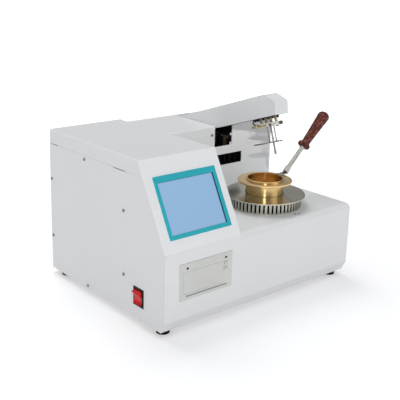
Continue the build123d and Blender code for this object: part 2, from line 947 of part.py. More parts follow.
with BuildPart() as heater_core:
    disc(Plane((cx, cy, core_z - core_t)), core_r, core_t)
    for turn_of in range(3):
        ring = groove_first + turn_of * groove_step
        groove = Plane((cx, cy, core_z - groove_deep))
        disc(groove, ring + groove_w / 2, groove_deep + 1, mode=Mode.SUBTRACT)
        disc(groove, ring - groove_w / 2, groove_deep)
heater_core.part.label = "heater_core"
export_step(heater_core.part, "parts/heater_core.step")

with BuildPart() as heater_tray:
    disc(Plane((cx, cy, tray_z)), well_r - tray_gap, tray_drop + tray_t)
    disc(Plane((cx, cy, deck_z)), skirt_r - skirt_t - tray_gap, tray_t)
    disc(
        Plane((cx, cy, tray_z + tray_t)),
        well_r - tray_gap - tray_t,
        tray_drop + tray_t,
        mode=Mode.SUBTRACT,
    )
    with Locations((cx, cy, tray_z)):
        with PolarLocations(core_r - 2 * stand_r, 3):
            Cylinder(
                stand_r,
                core_z - core_t - tray_z,
                align=(Align.CENTER, Align.CENTER, Align.MIN),
            )
heater_tray.part.label = "heater_tray"
export_step(heater_tray.part, "parts/heater_tray.step")

# ---------------------------------------------------------------- test cup and handle

mark_z = rim_z - mark_deep
turn = radians(handle_turn)
lift = radians(handle_lift)
out = (cos(turn), sin(turn), 0)
side = (sin(turn), -cos(turn), 0)
rod_start = (cx + out[0] * rod_base_r, cy + out[1] * rod_base_r, flange_z + rod_base_up)
rod_way = (cos(lift) * cos(turn), cos(lift) * sin(turn), sin(lift))
rivet_at = (clip_in_r + rivet_in, clip_in_r + rivet_in + rivet_step)
rivet_spots = [(cx + out[0] * r, cy + out[1] * r) for r in rivet_at]
with BuildPart() as cup:
    with BuildSketch(Plane((cx, cy, 0), x_dir=(1, 0, 0), z_dir=(0, -1, 0))):
        Polygon(
            (0, cup_low),
            (cup_r - 1.5, cup_low),
            (cup_r, cup_low + 1.5),
            (cup_r, flange_z - flange_t),
            (flange_r - 0.6, flange_z - flange_t),
            (flange_r, flange_z - flange_t + 0.6),
            (flange_r, flange_z - 0.6),
            (flange_r - 0.6, flange_z),
            (cup_r, flange_z),
            (cup_r, rim_z - 0.5),
            (cup_r - 0.5, rim_z),
            (cup_in_r, rim_z),
            (cup_in_r, mark_z + 0.4),
            (cup_in_r + 0.5, mark_z),
            (cup_in_r, mark_z - 0.4),
            (cup_in_r, cup_low + cup_floor + 2.5),
            (cup_in_r - 2.5, cup_low + cup_floor),
            (0, cup_low + cup_floor),
            align=None,
        )
    revolve(axis=Axis((cx, cy, 0), (0, 0, 1)))
    with Locations(*[(x, y, flange_z) for x, y in rivet_spots]):
        Cylinder(rivet_r, 4 * flange_t, mode=Mode.SUBTRACT)
cup.part.label = "cup"
export_step(cup.part, "parts/cup.step")

ferrule_r = rod_r + ferrule_t
with BuildPart() as handle_clip:
    with BuildSketch(Plane((cx, cy, flange_z), x_dir=out, z_dir=side)):
        Polygon(
            (clip_in_r, 0),
            (rod_base_r + 1, 0),
            (rod_base_r + 1, clip_t),
            (clip_in_r, clip_t),
            align=None,
        )
    extrude(amount=clip_w / 2, both=True)
    disc(Plane(rod_start, z_dir=rod_way).offset(-ferrule_t), ferrule_r, ferrule_t + ferrule_len)
    disc(Plane(rod_start, z_dir=rod_way), rod_r, 2 * ferrule_len, mode=Mode.SUBTRACT)
    with Locations(*[(x, y, flange_z) for x, y in rivet_spots]):
        Cylinder(rivet_r, 4 * flange_t, mode=Mode.SUBTRACT)
handle_clip.part.label = "handle_clip"
export_step(handle_clip.part, "parts/handle_clip.step")

with BuildPart() as clip_rivets:
    for x, y in rivet_spots:
        disc(Plane((x, y, flange_z - flange_t)), rivet_r, flange_t + clip_t)
        disc(Plane((x, y, flange_z + clip_t)), 2 * rivet_r, rivet_head)
        disc(Plane((x, y, flange_z - flange_t - rivet_head)), 2 * rivet_r, rivet_head)
clip_rivets.part.label = "clip_rivets"
export_step(clip_rivets.part, "parts/clip_rivets.step")

with BuildPart() as handle_rod:
    disc(Plane(rod_start, z_dir=rod_way), rod_r, rod_len + rod_in_grip)
handle_rod.part.label = "handle_rod"
export_step(handle_rod.part, "parts/handle_rod.step")

collar_end = rod_len + grip_collar_len
with BuildPart() as handle_grip:
    with BuildSketch(Plane(rod_start, x_dir=rod_way, z_dir=side)):
        with BuildLine():
            Polyline(
                (grip_tip + grip_end_r, 0),
                (rod_len, 0),
                (rod_len, grip_collar_r - 2.0),
                (rod_len + 1.5, grip_collar_r),
                (collar_end - 1.5, grip_collar_r),
                (collar_end + 1.0, grip_neck_r + 1.6),
                (collar_end + 5.0, grip_neck_r),
                (grip_tip, grip_end_r),
            )
            CenterArc((grip_tip, 0), grip_end_r, 90, -90)
        make_face()
    revolve(axis=Axis(rod_start, rod_way))
    with Locations(Plane(rod_start, x_dir=side, z_dir=rod_way).offset(rod_len)):
        with PolarLocations(grip_collar_r + grip_lobe_r / 2, 4):
            Cylinder(grip_lobe_r, 2 * grip_collar_len, mode=Mode.SUBTRACT)
    disc(Plane(rod_start, z_dir=rod_way), rod_r, rod_len + rod_in_grip, mode=Mode.SUBTRACT)
handle_grip.part.label = "handle_grip"
export_step(handle_grip.part, "parts/handle_grip.step")

# ---------------------------------------------------------------- lifting arm

raise_by = radians(arm_raise)
pivot = (cx, y0 + pivot_y, z0 + pivot_rise)
ahead = (0, -cos(raise_by), sin(raise_by))
upward = (0, sin(raise_by), cos(raise_by))
arm_side = Plane(pivot, x_dir=ahead, z_dir=(-1, 0, 0))
arm_in = arm_w / 2 - arm_skin


def on_arm(x, u, v):
    """A point given across, along and up from the arm's pivot."""
    return (
        pivot[0] + x,
        pivot[1] + u * ahead[1] + v * upward[1],
        pivot[2] + u * ahead[2] + v * upward[2],
    )


def arm_block(x_range, u_range, v_range, mode=Mode.ADD):
    """A box across, along and up from the arm's pivot."""
    middle = [(low + high) / 2 for low, high in (x_range, u_range, v_range)]
    size = [high - low for low, high in (x_range, u_range, v_range)]
    with Locations(Plane(on_arm(*middle), x_dir=(1, 0, 0), z_dir=upward)):
        Box(*size, mode=mode)


def arm_pin(x, u, v_range, radius, mode=Mode.ADD):
    """A round pin square to the arm."""
    disc(Plane(on_arm(x, u, v_range[0]), z_dir=upward), radius, v_range[1] - v_range[0], mode)


def arm_rod(x, u_range, v, radius, mode=Mode.ADD):
    """A round rod along the arm."""
    disc(Plane(on_arm(x, u_range[0], v), z_dir=ahead), radius, u_range[1] - u_range[0], mode)


with BuildSketch(arm_side) as arm_outline:
    with BuildLine():
        Polyline(
            (0, -arm_low),
            (arm_reach, -arm_low),
            (arm_reach + arm_lean, arm_face - arm_low),
            (arm_reach + arm_lean - arm_nose, arm_top),
            (-0.4 * arm_low, arm_top),
            (-arm_low, 0.3 * arm_low),
            (-arm_low, 0),
        )
        CenterArc((0, 0), arm_low, 180, 90)
    make_face()

with BuildPart() as arm_cover:
    extrude(arm_outline.sketch, amount=arm_w / 2, both=True)
    with BuildSketch(arm_side):
        add(offset(arm_outline.sketch_local, amount=-arm_skin, kind=Kind.INTERSECTION))
    extrude(amount=arm_in, both=True, mode=Mode.SUBTRACT)
    arm_block(
        (-arm_in, arm_in),
        (0, arm_reach - arm_skin),
        (-arm_low - 1, 1 + arm_skin - arm_low),
        mode=Mode.SUBTRACT,
    )
    bar_x((cx - arm_w, cx + arm_w), pivot[1:], pivot_r + run_gap, Mode.SUBTRACT)
arm_cover.part.label = "arm_cover"
export_step(arm_cover.part, "parts/arm_cover.step")

stud_spots = [spring_at + i * spring_step for i in range(4)]
with BuildPart() as arm_plate:
    arm_block((-arm_in, arm_in), (hub_r + 4, arm_reach - arm_skin - 0.5), (-arm_low, arm_skin - arm_low))
    for u in stud_spots:
        arm_pin(0, u, (-arm_low - 1, -arm_low + 2 * arm_skin), stud_r, Mode.SUBTRACT)
arm_plate.part.label = "arm_plate"
export_step(arm_plate.part, "parts/arm_plate.step")

with BuildPart() as arm_hub:
    bar_x((cx - arm_in, cx + arm_in), pivot[1:], hub_r)
    bar_x((cx - arm_w, cx + arm_w), pivot[1:], pivot_r + run_gap, Mode.SUBTRACT)
arm_hub.part.label = "arm_hub"
export_step(arm_hub.part, "parts/arm_hub.step")

# ---------------------------------------------------------------- lift drive behind the wall

channel_z = z0 + window_low - duct_t - channel_gap
duct_y = wall_y + sheet + duct_deep
roller_v = -arm_low - lift_roller_r - roller_gap
rod_y = y0 + lift_y


def roller_height(angle):
    """How high the roller's centre is when it carries the arm at an angle."""
    along = (pivot_y - lift_y + roller_v * sin(angle)) / cos(angle)
    return pivot[2] + along * sin(angle) + roller_v * cos(angle)


roller_z = roller_height(raise_by)
lift_travel = roller_z - roller_height(raise_by - radians(arm_drop))
rod_low = channel_z - rod_in_motor
with BuildPart() as mech_channel:
    for way in (-1, 1):
        near = cx + way * cheek_x
        far = cx + way * (cheek_x + cheek_t)
        cheek = (min(near, far), max(near, far))
        block(cheek, (duct_y + 1, back_y), (channel_z, pivot[2] + cheek_over))
        block(cheek, (wall_y + sheet, back_y), (z0 + window_low + window_h + 6, pivot[2] + cheek_over))
        ear_end = cx + way * (cheek_x + cheek_t + ear_w)
        ear = (min(far, ear_end), max(far, ear_end))
        block(ear, (wall_y + sheet, wall_y + sheet + cheek_t), (pivot[2] - ear_h, pivot[2] + ear_h))
        block(ear, (back_y - cheek_t, back_y), (channel_z, pivot[2] + ear_h))
    block(
        (cx - cheek_x - cheek_t, cx + cheek_x + cheek_t),
        (duct_y + 1, back_y),
        (channel_z, channel_z + cheek_t),
    )
    bar_x((cx - 2 * arm_w, cx + 2 * arm_w), pivot[1:], pivot_r, Mode.SUBTRACT)
    with Locations((cx, rod_y, channel_z)):
        Cylinder(lift_bush_r - 1.5, 4 * cheek_t, mode=Mode.SUBTRACT)
    bar_y(
        wall_screw_at[0],
        (wall_y - 1, wall_y + screw_len),
        wall_screw_at[1],
        screw_shank_r + hole_clear,
        Mode.SUBTRACT,
    )
mech_channel.part.label = "mech_channel"
export_step(mech_channel.part, "parts/mech_channel.step")

with BuildPart() as pivot_shaft:
    bar_x((cx - cheek_x - cheek_t - 3, cx + cheek_x + cheek_t + 3), pivot[1:], pivot_r)
pivot_shaft.part.label = "pivot_shaft"
export_step(pivot_shaft.part, "parts/pivot_shaft.step")

with BuildPart() as lift_motor:
    with Locations((cx, rod_y, channel_z - motor_h / 2)):
        Box(motor_w, motor_w, motor_h)
    chamfer(edges().filter_by(Axis.Z), 5.0)
    block(
        (cx - motor_w, cx + motor_w),
        (rod_y - motor_w, rod_y + motor_w),
        (channel_z - 0.7 * motor_h, channel_z - 0.3 * motor_h),
        mode=Mode.SUBTRACT,
    )
    disc(Plane((cx, rod_y, channel_z - 0.75 * motor_h)), motor_w / 2 - 1, 0.5 * motor_h)
    bore_low = rod_low - lift_travel - bore_spare
    disc(Plane((cx, rod_y, bore_low)), lift_rod_r + run_gap, channel_z + 1 - bore_low, Mode.SUBTRACT)
lift_motor.part.label = "lift_motor"
export_step(lift_motor.part, "parts/lift_motor.step")

with BuildPart() as lift_bush:
    disc(Plane((cx, rod_y, channel_z)), lift_bush_r - 1.5, lift_bush_h)
    disc(Plane((cx, rod_y, channel_z + cheek_t)), lift_bush_r, 3.0)
    disc(Plane((cx, rod_y, channel_z - 1)), lift_rod_r + run_gap, 2 * lift_bush_h, mode=Mode.SUBTRACT)
lift_bush.part.label = "lift_bush"
export_step(lift_bush.part, "parts/lift_bush.step")

fork_in = lift_roller_w / 2 + roller_gap
fork_out = fork_in + 2.0
with BuildPart() as lift_rod:
    disc(Plane((cx, rod_y, rod_low)), lift_rod_r, roller_z - lift_roller_r - fork_floor - rod_low)
    block(
        (cx - fork_out, cx + fork_out),
        (rod_y - 4, rod_y + 4),
        (roller_z - lift_roller_r - fork_floor, roller_z + roller_pin_r + 1.0),
    )
    block(
        (cx - fork_in, cx + fork_in),
        (rod_y - 5, rod_y + 5),
        (roller_z - lift_roller_r - roller_gap, roller_z + 3),
        mode=Mode.SUBTRACT,
    )
    bar_x((cx - fork_out, cx + fork_out), (rod_y, roller_z), roller_pin_r)
lift_rod.part.label = "lift_rod"
export_step(lift_rod.part, "parts/lift_rod.step")

with BuildPart() as lift_roller:
    bar_x((cx - lift_roller_w / 2, cx + lift_roller_w / 2), (rod_y, roller_z), lift_roller_r)
    bar_x((cx - arm_w, cx + arm_w), (rod_y, roller_z), roller_pin_r + run_gap, Mode.SUBTRACT)
lift_roller.part.label = "lift_roller"
export_step(lift_roller.part, "parts/lift_roller.step")

# The arm's lower limit switch, a tee on the cheek, beside the arm's way down.
sensor_x = (cx + arm_w / 2 + sensor_gap, cx + cheek_x)
sensor_top = pivot[2] - sensor_drop
sensor_mid = rod_y - sensor_ahead
with BuildPart() as arm_sensor:
    block(
        sensor_x,
        (sensor_mid - sensor_bar / 2, sensor_mid + sensor_bar / 2),
        (sensor_top - sensor_w, sensor_top),
    )
    block(
        sensor_x,
        (sensor_mid - sensor_w / 2, sensor_mid + sensor_w / 2),
        (sensor_top - sensor_len, sensor_top),
    )
arm_sensor.part.label = "arm_sensor"
export_step(arm_sensor.part, "parts/arm_sensor.step")

# ---------------------------------------------------------------- test head

block_v = (-head_top - head_h, -head_top)
head_mid_v = -head_top - head_h / 2
with BuildPart() as head_block:
    arm_block((-head_w / 2, head_w / 2), (head_back, head_front), block_v)
    chamfer(edges().filter_by(lambda e: abs(e.tangent_at(0).dot(Vector(*upward))) > 0.99), head_edge)
    bar_x(
        (cx - jet_side - jet_hub_w / 2 - 0.8, cx - head_w / 2 + 1),
        on_arm(0, jet_at, head_mid_v)[1:],
        jet_pin_r,
    )
    for u in stud_spots:
        arm_pin(0, u, (block_v[1] - stud_in, block_v[1] + 1), stud_r, Mode.SUBTRACT)
    for u in (guard_back, guard_front):
        arm_pin(0, u, (block_v[0] - 1, block_v[0] + socket), guard_r, Mode.SUBTRACT)
    arm_pin(probe_side, probe_at, (block_v[0] - 1, block_v[0] + socket), probe_r, Mode.SUBTRACT)
    arm_rod(0, (head_front - knob_socket, head_front + 1), head_mid_v, knob_stem_r + run_gap, Mode.SUBTRACT)
    arm_pin(0, thumb_at, (block_v[0] - 1, block_v[0] + thumb_pin), thumb_pin_r, Mode.SUBTRACT)
head_block.part.label = "head_block"
export_step(head_block.part, "parts/head_block.step")

with BuildPart() as head_studs:
    for u in stud_spots:
        arm_pin(0, u, (block_v[1] - stud_in, -arm_low + arm_skin), stud_r)
        arm_pin(0, u, (-arm_low + arm_skin, -arm_low + arm_skin + stud_head_h), 2 * stud_r)
head_studs.part.label = "head_studs"
export_step(head_studs.part, "parts/head_studs.step")

spring_run = head_top - arm_low
coil_h = spring_run - 2 * spring_wire_r - 2 * rest_gap
coil_low = block_v[1] + spring_wire_r + rest_gap
coil_steps = int(spring_turns * spring_sides)
with BuildPart() as head_springs:
    for u in stud_spots:
        coil_points = [
            on_arm(
                spring_r * cos(radians(360 * step / spring_sides)),
                u + spring_r * sin(radians(360 * step / spring_sides)),
                coil_low + coil_h * step / coil_steps,
            )
            for step in range(coil_steps + 1)
        ]
        with BuildLine() as coil:
            Polyline(*coil_points)
        with BuildSketch(Plane(coil.line @ 0, z_dir=coil.line % 0)):
            RegularPolygon(spring_wire_r, 4)
        sweep(path=coil.line, transition=Transition.RIGHT)
head_springs.part.label = "head_springs"
export_step(head_springs.part, "parts/head_springs.step")

guard_v = -guard_drop
with BuildPart() as detector_wire:
    for u in (guard_back, guard_front):
        arm_pin(0, u, (guard_v, block_v[0] + socket), guard_r)
    arm_rod(0, (wire_back + tip_len, wire_front - tip_len), guard_v, wire_r)
detector_wire.part.label = "detector_wire"
export_step(detector_wire.part, "parts/detector_wire.step")

with BuildPart() as wire_tips:
    arm_rod(0, (wire_back, wire_back + tip_len), guard_v, tip_r)
    arm_rod(0, (wire_front - tip_len, wire_front), guard_v, tip_r)
wire_tips.part.label = "wire_tips"
export_step(wire_tips.part, "parts/wire_tips.step")

with BuildPart() as temperature_probe:
    arm_pin(probe_side, probe_at, (1.5 - probe_tip_drop, block_v[0] + socket), probe_r)
    arm_pin(probe_side, probe_at, (-probe_tip_drop, 7 - probe_tip_drop), probe_r + 0.3)
temperature_probe.part.label = "temperature_probe"
export_step(temperature_probe.part, "parts/temperature_probe.step")

jet_hub = on_arm(-jet_side, jet_at, head_mid_v)
jet_end = jet_at - jet_len
with BuildPart() as igniter_jet:
    bar_x((cx - jet_side - jet_hub_w / 2, cx - jet_side + jet_hub_w / 2), jet_hub[1:], jet_hub_r)
    arm_rod(-jet_side, (jet_end, jet_at), head_mid_v, jet_r)
    arm_rod(-jet_side, (jet_end - 1, jet_end + 4), head_mid_v, 1.5 * jet_r)
    arm_rod(-jet_side, (jet_end - 2, jet_end + 3), head_mid_v, 0.5 * jet_r, Mode.SUBTRACT)
    bar_x((cx - 2 * jet_side, cx), jet_hub[1:], jet_pin_r + run_gap, Mode.SUBTRACT)
igniter_jet.part.label = "igniter_jet"
export_step(igniter_jet.part, "parts/igniter_jet.step")

with BuildPart() as valve_knob:
    arm_rod(0, (head_front - knob_socket + knob_end_gap, head_front + knob_stem), head_mid_v, knob_stem_r)
    arm_rod(0, (head_front + knob_stem, head_front + knob_stem + knob_len), head_mid_v, knob_r)
    with Locations(Plane(on_arm(0, head_front + knob_stem, head_mid_v), x_dir=(1, 0, 0), z_dir=ahead)):
        with PolarLocations(knob_r, 6):
            Cylinder(0.6, 4 * knob_len, mode=Mode.SUBTRACT)
valve_knob.part.label = "valve_knob"
export_step(valve_knob.part, "parts/valve_knob.step")

with BuildPart() as thumb_screw:
    arm_pin(0, thumb_at, (block_v[0] - thumb_h, block_v[0]), thumb_r)
    arm_pin(0, thumb_at, (block_v[0], block_v[0] + thumb_pin), thumb_pin_r)
thumb_screw.part.label = "thumb_screw"
export_step(thumb_screw.part, "parts/thumb_screw.step")

# ---------------------------------------------------------------- cooling duct and fan

win_x = (x0 + window_x, x0 + window_x + window_w)
win_z = (z0 + window_low, z0 + window_low + window_h)
with BuildPart() as air_duct:
    block(
        (win_x[0] - duct_t, win_x[1] + duct_t),
        (wall_y + sheet, duct_y),
        (win_z[0] - duct_t, win_z[1] + duct_t),
    )
    block(win_x, (wall_y, duct_y - duct_t), win_z, mode=Mode.SUBTRACT)
    for i in range(1, vane_count + 1):
        vane = win_x[0] + i * window_w / (vane_count + 1)
        block((vane - 0.6, vane + 0.6), (wall_y + sheet + 3, duct_y - duct_t), win_z)
air_duct.part.label = "air_duct"
export_step(air_duct.part, "parts/air_duct.step")

fan_front = back_y - fan_t
with BuildPart() as fan_frame:
    block(
        (fan_at[0] - fan_w / 2, fan_at[0] + fan_w / 2),
        (fan_front, back_y),
        (fan_at[1] - fan_w / 2, fan_at[1] + fan_w / 2),
    )
    fillet(edges().filter_by(Axis.Y), fan_bend)
    bar_y(fan_at[0], (fan_front - 1, back_y + 1), fan_at[1], fan_blade_r + fan_gap, Mode.SUBTRACT)
    block(
        (fan_at[0] - fan_w / 2 + 2, fan_at[0] + fan_w / 2 - 2),
        (fan_front, fan_front + fan_spider_t),
        (fan_at[1] - fan_spider_w / 2, fan_at[1] + fan_spider_w / 2),
    )
    block(
        (fan_at[0] - fan_spider_w / 2, fan_at[0] + fan_spider_w / 2),
        (fan_front, fan_front + fan_spider_t),
        (fan_at[1] - fan_w / 2 + 2, fan_at[1] + fan_w / 2 - 2),
    )
    bar_y(fan_at[0], (fan_front, fan_front + fan_spider_t + 1), fan_at[1], fan_hub_r)
    bar_y(fan_at[0], (fan_front, fan_front + fan_mid), fan_at[1], fan_shaft_r)
    for x, z in fan_screw_spots:
        bar_y(x, (back_y - screw_len, back_y + 1), z, screw_shank_r + hole_clear, Mode.SUBTRACT)
fan_frame.part.label = "fan_frame"
export_step(fan_frame.part, "parts/fan_frame.step")

with BuildPart() as fan_rotor:
    for i in range(blade_count):
        with Locations(
            Location((fan_at[0], fan_front + fan_mid, fan_at[1]), (0, 360 * i / blade_count, 0)),
        ):
            with Locations(Location(((fan_hub_r + fan_blade_r) / 2 - 1, 0, 0), (blade_pitch, 0, 0))):
                Box(fan_blade_r - fan_hub_r, blade_t, blade_w)
    bar_y(fan_at[0], (fan_front, back_y), fan_at[1], 2 * fan_blade_r, Mode.INTERSECT)
    hub_front = fan_front + fan_spider_t + 2
    bar_y(fan_at[0], (hub_front, hub_front + fan_hub_t), fan_at[1], fan_hub_r)
    bar_y(fan_at[0], (fan_front, fan_front + fan_mid + 1), fan_at[1], fan_shaft_r + run_gap, Mode.SUBTRACT)
fan_rotor.part.label = "fan_rotor"
export_step(fan_rotor.part, "parts/fan_rotor.step")

# ---------------------------------------------------------------- back fittings

body = (inlet_w / 2 - inlet_ear - hole_clear, inlet_h / 2 - inlet_lip - hole_clear)
with BuildPart() as power_inlet:
    with BuildSketch(Plane((inlet_at[0], y1, inlet_at[1]), x_dir=(1, 0, 0), z_dir=(0, -1, 0))):
        Polygon(
            (-inlet_w / 2, -inlet_ear_h / 2),
            (inlet_ear - inlet_w / 2, -inlet_h / 2),
            (inlet_w / 2 - inlet_ear, -inlet_h / 2),
            (inlet_w / 2, -inlet_ear_h / 2),
            (inlet_w / 2, inlet_ear_h / 2),
            (inlet_w / 2 - inlet_ear, inlet_h / 2),
            (inlet_ear - inlet_w / 2, inlet_h / 2),
            (-inlet_w / 2, inlet_ear_h / 2),
            align=None,
        )
    extrude(amount=-inlet_flange)
    block(
        (inlet_at[0] - body[0], inlet_at[0] + body[0]),
        (y1 - inlet_deep, y1),
        (inlet_at[1] - body[1], inlet_at[1] + body[1]),
    )
    with BuildSketch(
        Plane((inlet_at[0], y1 + inlet_flange, inlet_at[1]), x_dir=(1, 0, 0), z_dir=(0, -1, 0)),
    ):
        Rectangle(2 * body[0] - 5, 2 * body[1] - 5)
        chamfer(vertices().group_by(Axis.Y)[-1], 4.0)
    extrude(amount=inlet_deep - 1, mode=Mode.SUBTRACT)
    for way, up in ((-1, -1.5), (0, 2.5), (1, -1.5)):
        block(
            (inlet_at[0] + 7 * way - 1, inlet_at[0] + 7 * way + 1),
            (y1 - inlet_deep + 2, y1 - 3),
            (inlet_at[1] + up - 2, inlet_at[1] + up + 2),
        )
    for x, z in ear_spots:
        bar_y(x, (y1 - 1, y1 + 2 * inlet_flange), z, screw_shank_r + hole_clear, Mode.SUBTRACT)
power_inlet.part.label = "power_inlet"
export_step(power_inlet.part, "parts/power_inlet.step")

with BuildPart() as gas_nozzle:
    with BuildSketch(Plane((gas_at[0], y1, gas_at[1]), x_dir=(1, 0, 0), z_dir=(0, 1, 0))):
        RegularPolygon(gas_nut_r, 6)
    extrude(amount=gas_nut_t)
    bar_y(gas_at[0], (back_y - gas_body, y1), gas_at[1], gas_r + 2.0 - hole_clear)
    bar_y(gas_at[0], (back_y - 6, back_y), gas_at[1], gas_nut_r)
    bar_y(gas_at[0], (y1, y1 + gas_len), gas_at[1], gas_r)
    bar_y(gas_at[0], (y1 + gas_len - 5, y1 + gas_len + 1), gas_at[1], gas_r - 1.5, Mode.SUBTRACT)
gas_nozzle.part.label = "gas_nozzle"
export_step(gas_nozzle.part, "parts/gas_nozzle.step")

with BuildPart() as case_screws:
    for y, z in side_spots:
        disc(Plane((x0, y, z), z_dir=(-1, 0, 0)), screw_r, screw_head)
        disc(Plane((x0, y, z), z_dir=(1, 0, 0)), screw_shank_r, screw_len)
        if y > wall_y or z < deck_z:
            disc(Plane((x1, y, z), z_dir=(1, 0, 0)), screw_r, screw_head)
            disc(Plane((x1, y, z), z_dir=(-1, 0, 0)), screw_shank_r, screw_len)
    bar_y(wall_screw_at[0], (wall_y - screw_head, wall_y), wall_screw_at[1], screw_r)
    bar_y(wall_screw_at[0], (wall_y, wall_y + screw_len), wall_screw_at[1], screw_shank_r)
    for x, z in fan_screw_spots:
        bar_y(x, (y1, y1 + screw_head), z, screw_r)
        bar_y(x, (y1 - screw_len, y1), z, screw_shank_r)
    for x, z in ear_spots:
        bar_y(x, (y1 + inlet_flange, y1 + inlet_flange + screw_head), z, screw_r)
        bar_y(x, (y1 - 3, y1 + inlet_flange), z, screw_shank_r)
case_screws.part.label = "case_screws"
export_step(case_screws.part, "parts/case_screws.step")

# ---------------------------------------------------------------- inside

pan_z = z0 + sheet
with BuildPart() as power_supply:
    block(
        (x0 + supply_x, x0 + supply_x + supply_w),
        (y0 + supply_y, y0 + supply_y + supply_d),
        (pan_z, pan_z + supply_h),
    )
    chamfer(edges().group_by(Axis.Z)[-1], 1.5)
power_supply.part.label = "power_supply"
export_step(power_supply.part, "parts/power_supply.step")

board_at = (x0 + board_x, y0 + board_y)
with BuildPart() as control_board:
    block(
        (board_at[0], board_at[0] + board_w),
        (board_at[1], board_at[1] + board_h),
        (pan_z + standoff, pan_z + standoff + board_t),
    )
    for x in (board_edge, board_w - board_edge):
        for y in (board_edge, board_h - board_edge):
            disc(Plane((board_at[0] + x, board_at[1] + y, pan_z)), pillar_r, standoff)
    board_top = pan_z + standoff + board_t
    block(
        (board_at[0] + chip_x, board_at[0] + chip_x + chip_w),
        (board_at[1] + chip_y, board_at[1] + chip_y + chip_w),
        (board_top, board_top + chip_t),
    )
    block(
        (board_at[0] + relay_x, board_at[0] + relay_x + relay_w),
        (board_at[1] + relay_y, board_at[1] + relay_y + relay_d),
        (board_top, board_top + relay_h),
    )
control_board.part.label = "control_board"
export_step(control_board.part, "parts/control_board.step")
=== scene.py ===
import json
import math

import bmesh
import bpy
from mathutils import Matrix, Vector


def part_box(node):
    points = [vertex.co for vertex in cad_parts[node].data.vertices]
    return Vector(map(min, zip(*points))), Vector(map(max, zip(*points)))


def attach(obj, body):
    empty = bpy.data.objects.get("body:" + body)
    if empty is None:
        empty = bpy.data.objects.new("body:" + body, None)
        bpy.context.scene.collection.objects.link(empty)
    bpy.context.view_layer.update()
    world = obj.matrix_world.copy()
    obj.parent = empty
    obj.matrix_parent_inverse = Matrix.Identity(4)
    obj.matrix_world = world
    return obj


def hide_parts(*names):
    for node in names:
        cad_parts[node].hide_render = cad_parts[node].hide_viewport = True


# The looks of an automatic open-cup flash point tester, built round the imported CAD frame: a
# material for every CAD node, meshes for the fine forms, and the studio of the photograph.
# Metres, in the CAD's frame: +Z up, the operator at -Y, the test cup towards +X.
# Sizes written in millimetres are turned to metres with MM.

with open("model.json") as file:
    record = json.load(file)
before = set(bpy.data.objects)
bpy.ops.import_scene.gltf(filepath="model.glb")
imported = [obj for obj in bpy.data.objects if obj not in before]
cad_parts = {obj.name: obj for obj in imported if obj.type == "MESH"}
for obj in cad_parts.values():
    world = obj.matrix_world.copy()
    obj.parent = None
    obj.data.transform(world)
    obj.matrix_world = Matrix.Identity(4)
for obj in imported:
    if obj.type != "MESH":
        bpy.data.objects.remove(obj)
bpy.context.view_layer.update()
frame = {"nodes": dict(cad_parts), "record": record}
nodes = frame["nodes"]

MM = 0.001
UP = Vector((0, 0, 1))

cabinet_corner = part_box("left_side")[0]         # left, front and low
cup_axis = sum(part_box("cup"), Vector()) / 2

# ---------------------------------------------------------------- shader nodes


def srgb(r, g, b):
    """A screen colour, 0 to 255, as a linear colour with alpha."""
    return tuple(((c / 255) ** 2.2) for c in (r, g, b)) + (1.0,)


def scaled(color, share):
    """A linear colour made darker or lighter, with its alpha kept."""
    return tuple(min(1.0, c * share) for c in color[:3]) + (1.0,)


def grey(level):
    return (level, level, level, 1.0)


class Shading:
    """Short ways to add nodes to a node tree. A socket may stand wherever a value may."""

    def __init__(self, tree):
        self.tree = tree

    def feed(self, value, socket):
        """Sets a socket to a value, or links it."""
        if isinstance(value, bpy.types.NodeSocket):
            self.tree.links.new(value, socket)
        else:
            socket.default_value = value

    def node(self, kind, **inputs):
        """A new node with its input sockets fed; names use _ for a space."""
        made = self.tree.nodes.new("ShaderNode" + kind)
        for name, value in inputs.items():
            self.feed(value, made.inputs[name.replace("_", " ")])
        return made

    def math(self, operation, *terms, kind="Math"):
        """The result of a Math node, or of a Vector Math node."""
        made = self.node(kind)
        made.operation = operation
        for value, socket in zip(terms, made.inputs):
            self.feed(value, socket)
        return made.outputs[0]

    def parts(self, vector):
        """The X, Y and Z of a vector."""
        return self.node("SeparateXYZ", Vector=vector).outputs

    def reach(self, x, y):
        """The distance from the Z axis."""
        squares = self.math("ADD", self.math("MULTIPLY", x, x), self.math("MULTIPLY", y, y))
        return self.math("SQRT", squares)

    def span(self, fac, low, high, from_low=0.0, from_high=1.0):
        """A value moved from one range to another."""
        made = self.node(
            "MapRange", Value=fac, From_Min=from_low, From_Max=from_high, To_Min=low, To_Max=high,
        )
        return made.outputs["Result"]

    def ramp(self, fac, *stops):
        """A colour ramp through (position, colour) stops."""
        made = self.node("ValToRGB", Fac=fac)
        elements = made.color_ramp.elements
        while len(elements) < len(stops):
            elements.new(0.5)
        for element, (at, color) in zip(elements, stops):
            element.position = at
            element.color = color
        return made.outputs["Color"]

    def blend(self, fac, first, second):
        """A Mix Shader node between two shader nodes."""
        made = self.node("MixShader", Fac=fac)
        self.feed(first.outputs[0], made.inputs[1])
        self.feed(second.outputs[0], made.inputs[2])
        return made

    def mix(self, fac, first, second, blend="MIX"):
        """Two colours blended."""
        made = self.node("Mix")
        made.data_type = "RGBA"
        made.blend_type = blend
        for value, index in ((fac, 0), (first, 6), (second, 7)):    # the node's colour sockets
            self.feed(value, made.inputs[index])
        return made.outputs[2]


